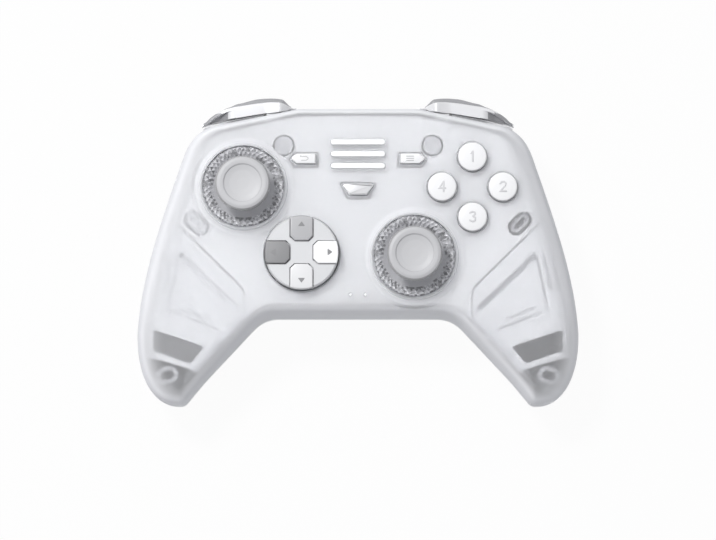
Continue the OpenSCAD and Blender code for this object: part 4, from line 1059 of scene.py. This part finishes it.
# Slot of each node
SLOTS = {
    "front_shell": "frosted_shell", "rear_shell": "rear_plastic", "case_screws": "black_steel",
    "inner_frame": "white_frame", "light_guide": "light_guide", "status_light_pipe": "light_guide",
    "main_board": "board", "board_screws": "black_steel", "key_switches": "dark_plastic",
    "battery": "battery_wrap", "usb_socket": "plated_steel", "view_button": "white_button",
    "menu_button": "white_button", "home_button": "silver_button", "dpad_disc": "silver_disc",
    "dpad_key_up": "key_grey", "dpad_key_right": "key_white", "dpad_key_down": "key_pale",
    "dpad_key_left": "key_dark", "dpad_ball": "plated_steel", "dpad_post": "dark_plastic",
    "bumper_pins": "plated_steel", "trigger_pins": "plated_steel", "trigger_springs": "plated_steel",
}
for side in ("left", "right"):
    SLOTS.update({
        f"{side}_stick_ring": "silver_ring", f"{side}_stick_box": "plated_steel",
        f"{side}_stick_gimbal": "dark_plastic", f"{side}_stick_hub": "dark_plastic",
        f"{side}_stick_shaft": "plated_steel", f"{side}_stick_cap": "stick_rubber",
        f"bumper_{side}": "silver_bumper", f"trigger_{side}": "trigger_grey",
        f"grip_liner_{side}": "grey_liner",
        f"rumble_motor_{side}": "motor_grey", f"rumble_weight_{side}": "weight_metal",
    })
for name in WAYS:
    SLOTS[f"face_button_{name}"] = "white_button"


def paint(ob, m):
    ob.data.materials.clear()
    ob.data.materials.append(m)


for name, ob in NODE.items():
    paint(ob, MAT[SLOTS[name]])


def dress(ob, body, node=None, slot=None, finish=None):
    """Paints a piece with its finish, or else with its slot's material, and sets it on its body, in the
    place of a node if one is named.
    """
    slot = slot or SLOTS[node]
    paint(ob, MAT[finish or slot])
    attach(ob, body)
    if node:
        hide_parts(node)


def clear_inside(ob):
    """The inner skin of the frosted shell is clear, so the haze sits on the outer one only."""
    me = ob.data
    me.materials.append(MAT["frosted_inside"])
    mid = np.empty(len(me.polygons) * 3)
    me.polygons.foreach_get("center", mid)
    mid = mid.reshape(-1, 3) / MM
    hit = np.abs(mid[:, 2] - skin_z(mid[:, :2], WALL, True)) < 0.15
    me.polygons.foreach_set("material_index", hit.astype(np.int32))


def second(ob, finish, pick):
    """Gives the faces that pick chooses, by their middles in mm and their normals, another finish."""
    me = ob.data
    me.materials.append(MAT[finish])
    mid, way, index = (np.empty(len(me.polygons) * k, t) for k, t in ((3, float), (3, float), (1, np.int32)))
    me.polygons.foreach_get("center", mid)
    me.polygons.foreach_get("normal", way)
    me.polygons.foreach_get("material_index", index)
    index[pick(mid.reshape(-1, 3) / MM, way.reshape(-1, 3))] = len(me.materials) - 1
    me.polygons.foreach_set("material_index", index)


def away(p, at):
    """Distance of points from an upright axis."""
    return np.linalg.norm(p[:, :2] - np.array(at), axis=1)


def post_core(p, n):
    """Inside of the core in the right pill post, painted dark as shade in the hollow."""
    at = np.array(POSTS["pill"])
    return (seg_gap(p[:, :2], at - 1.3, at + 1.3) < 0.85) & (p[:, 2] < 31.8)


def liner_deep(p, n):
    """Faces that look up from well below the liner's top; they are painted darker as shade in the sunk parts
    and grooves.
    """
    return (n[:, 2] > 0.2) & (skin_z(p[:, :2], LINER_D, True) - p[:, 2] > 1.2)


def bumper_hollow(p, n):
    """The sunk part near a bumper's outer end."""
    ax = np.abs(p[:, 0])
    edge = np.array([bumper_in(x) + 2.5 * rise(x, 43, 6) for x in ax])
    return (p[:, 1] < edge) & (ax > 43) & (ax < 54.6) & (n[:, 2] > 0.15)


def shaded_knurl_facets(at):
    """Picks facets of a knurled ring by a fixed scatter, more of them towards its lower right; they are
    painted dark as painted shade and painted reflections on the facets.
    """
    def pick(p, n):
        q = p[:, :2] - np.array(at)
        r, a = np.linalg.norm(q, axis=1), np.arctan2(q[:, 1], q[:, 0])
        seed = np.floor(a * 48 / math.pi) * 12.99 + np.floor(r * 2.1) * 78.23
        chance = np.modf(np.abs(np.sin(seed) * 437.58))[0]
        share = np.where(r > RING_R - 0.6, 0.5, 0.3 + 0.14 * np.cos(a + 0.8))
        return (r > RING_R - 3.3) & (chance < share) & (p[:, 2] > FACE_Z - 0.5)
    return pick


dress(front, "housing", "front_shell")
clear_inside(front)
dress(rear, "housing", "rear_shell")
for ob in posts:
    # The left pill post is painted white and the right one grey: painted light and shade by side.
    finish = "post_pale" if "round" in ob.name else "post_white" if "pill_left" in ob.name else "post_grey"
    dress(ob, "housing", None, "frosted_shell", finish)
    if "pill_right" in ob.name:
        second(ob, "hoop_shade", post_core)
# The right side's hoop, sheet and groove finishes are darker than the left's: painted shade on the side away
# from the light.
for side, hoop_finish, pane_finish, deep_finish in (("left", "post_pale", "pane_grey", "liner_pale"),
                                                    ("right", "hoop_shade", "pane_shade", "liner_shade")):
    dress(hoops[side], "housing", None, "frosted_shell", hoop_finish)
    dress(laps[side], "housing", None, "grey_liner")
    dress(bosses[side], "housing", None, "frosted_shell", "white_frame")
    dress(panes[side], "housing", None, "motor_grey", pane_finish)
    dress(liners[side], "housing", f"grip_liner_{side}")
    # The liner's sunk faces and grooves are painted darker as shade.
    second(liners[side], deep_finish, liner_deep)
    dress(caps[side], f"{side}_stick", f"{side}_stick_cap")
    second(caps[side], "cap_rim", lambda p, n: away(p, STICKS[side]) > 6.5)
    # The cap's outermost band is painted dark: a painted shadow under the cap's edge.
    second(caps[side], "cap_edge_shade", lambda p, n: away(p, STICKS[side]) > 8.9)
    dress(rings[side], "housing", f"{side}_stick_ring")
    # Scattered knurl facets are painted dark: painted shade and painted reflections.
    second(rings[side], "knurl_facet_shade", shaded_knurl_facets(STICKS[side]))
    dress(bumpers[side], f"bumper_{side}", f"bumper_{side}")
    second(bumpers[side], "bumper_shade", bumper_hollow)
    dress(triggers[side], f"trigger_{side}", f"trigger_{side}")
dress(guide, "housing", "light_guide")
dress(pipe, "housing", "status_light_pipe")
# The dark ring is painted shade in the gap round the pad's disc.
dress(well, "dpad", None, "dark_plastic")
dress(apron, "housing", None, "white_frame")
for name, ob in keys.items():
    dress(ob, "dpad", f"dpad_key_{name}")
for name, ob in buttons.items():
    dress(ob, f"face_button_{name}", f"face_button_{name}")
    # The outer edge of each button's top is painted grey: a painted shade for the dark gap round the button.
    second(ob, "button_rim_shade", lambda p, n: (away(p, button_at(name)) > 4.8) & (p[:, 2] > 33))
for name, ob in small.items():
    dress(ob, f"{name}_button", f"{name}_button")
for ob, body, slot, finish in marks:
    dress(ob, body, None, slot, finish)

# Floor, light, camera
FLOOR_HALF = 3.0
FLOOR_Z = -5e-5


def seen_white(tree):
    """1 for rays that see the backdrop itself: from the camera, in gloss or through the shell."""
    path = tree.nodes.new("ShaderNodeLightPath")
    a, b = tree.nodes.new("ShaderNodeMath"), tree.nodes.new("ShaderNodeMath")
    a.operation = b.operation = "MAXIMUM"
    tree.links.new(path.outputs["Is Camera Ray"], a.inputs[0])
    tree.links.new(path.outputs["Is Glossy Ray"], a.inputs[1])
    tree.links.new(a.outputs[0], b.inputs[0])
    tree.links.new(path.outputs["Is Transmission Ray"], b.inputs[1])
    return b.outputs[0]


def pale_floor():
    """A plain floor that is seen almost white and keeps the object's shadow."""
    plane = bpy.data.meshes.new("floor")
    corners = [(x * FLOOR_HALF, y * FLOOR_HALF, FLOOR_Z) for x, y in ((-1, -1), (1, -1), (1, 1), (-1, 1))]
    plane.from_pydata(corners, [], [(0, 1, 2, 3)])
    floor = bpy.data.objects.new("floor", plane)
    scene.collection.objects.link(floor)
    m = bpy.data.materials.new("pale_floor")
    m.use_nodes = True
    t = m.node_tree
    t.nodes.clear()
    out = t.nodes.new("ShaderNodeOutputMaterial")
    body = t.nodes.new("ShaderNodeBsdfDiffuse")
    body.inputs["Color"].default_value = (0.66, 0.66, 0.66, 1)
    glow = t.nodes.new("ShaderNodeEmission")
    blend = t.nodes.new("ShaderNodeMixShader")
    share = t.nodes.new("ShaderNodeMath")
    share.operation = "MULTIPLY"
    share.inputs[1].default_value = 0.95
    t.links.new(seen_white(t), share.inputs[0])
    t.links.new(share.outputs[0], blend.inputs[0])
    t.links.new(body.outputs[0], blend.inputs[1])
    t.links.new(glow.outputs[0], blend.inputs[2])
    t.links.new(blend.outputs[0], out.inputs[0])
    floor.data.materials.append(m)


def studio_sky():
    """Soft light from all round, a little stronger from the upper left; the camera sees plain white."""
    world = bpy.data.worlds.new("studio")
    scene.world = world
    world.use_nodes = True
    t = world.node_tree
    t.nodes.clear()
    out = t.nodes.new("ShaderNodeOutputWorld")
    sky = t.nodes.new("ShaderNodeBackground")
    sky.inputs["Color"].default_value = (0.96, 0.97, 1.0, 1)
    way = t.nodes.new("ShaderNodeTexCoord")
    side = t.nodes.new("ShaderNodeVectorMath")
    side.operation = "DOT_PRODUCT"
    side.inputs[1].default_value = (-0.6, 0.8, 0)
    t.links.new(way.outputs["Generated"], side.inputs[0])
    t.links.new(remap(t, side.outputs["Value"], -1, 1, 0.57, 0.68), sky.inputs["Strength"])
    white = t.nodes.new("ShaderNodeBackground")
    pick = t.nodes.new("ShaderNodeMixShader")
    path = t.nodes.new("ShaderNodeLightPath")
    t.links.new(path.outputs["Is Camera Ray"], pick.inputs[0])
    t.links.new(sky.outputs[0], pick.inputs[1])
    t.links.new(white.outputs[0], pick.inputs[2])
    t.links.new(pick.outputs[0], out.inputs[0])


def key_lamp(at, aim, size, power):
    data = bpy.data.lights.new("key", "AREA")
    data.shape = "SQUARE"
    data.size = size
    data.energy = power
    ob = bpy.data.objects.new("key", data)
    ob.location = at
    ob.rotation_euler = (Vector(aim) - Vector(at)).to_track_quat("-Z", "Y").to_euler()
    scene.collection.objects.link(ob)


def camera(aim, distance, elevation, width):
    """A camera in front that looks down at the aim and shows that width there; in metres and degrees."""
    data = bpy.data.cameras.new("camera")
    data.sensor_width = 36
    data.lens = 36 * distance / width
    el = math.radians(elevation)
    ob = bpy.data.objects.new("camera", data)
    ob.location = Vector(aim) + Vector((0, -math.cos(el), math.sin(el))) * distance
    ob.rotation_euler = (math.pi / 2 - el, 0, 0)
    scene.collection.objects.link(ob)
    scene.camera = ob


pale_floor()
studio_sky()
key_lamp((-0.34, 0.35, 0.80), (0, 0, 0.02), 0.18, 5.8)
camera((0, -0.0062, 0.02), 1.05, 83.4, 0.2525)
scene.view_settings.view_transform = "Standard"
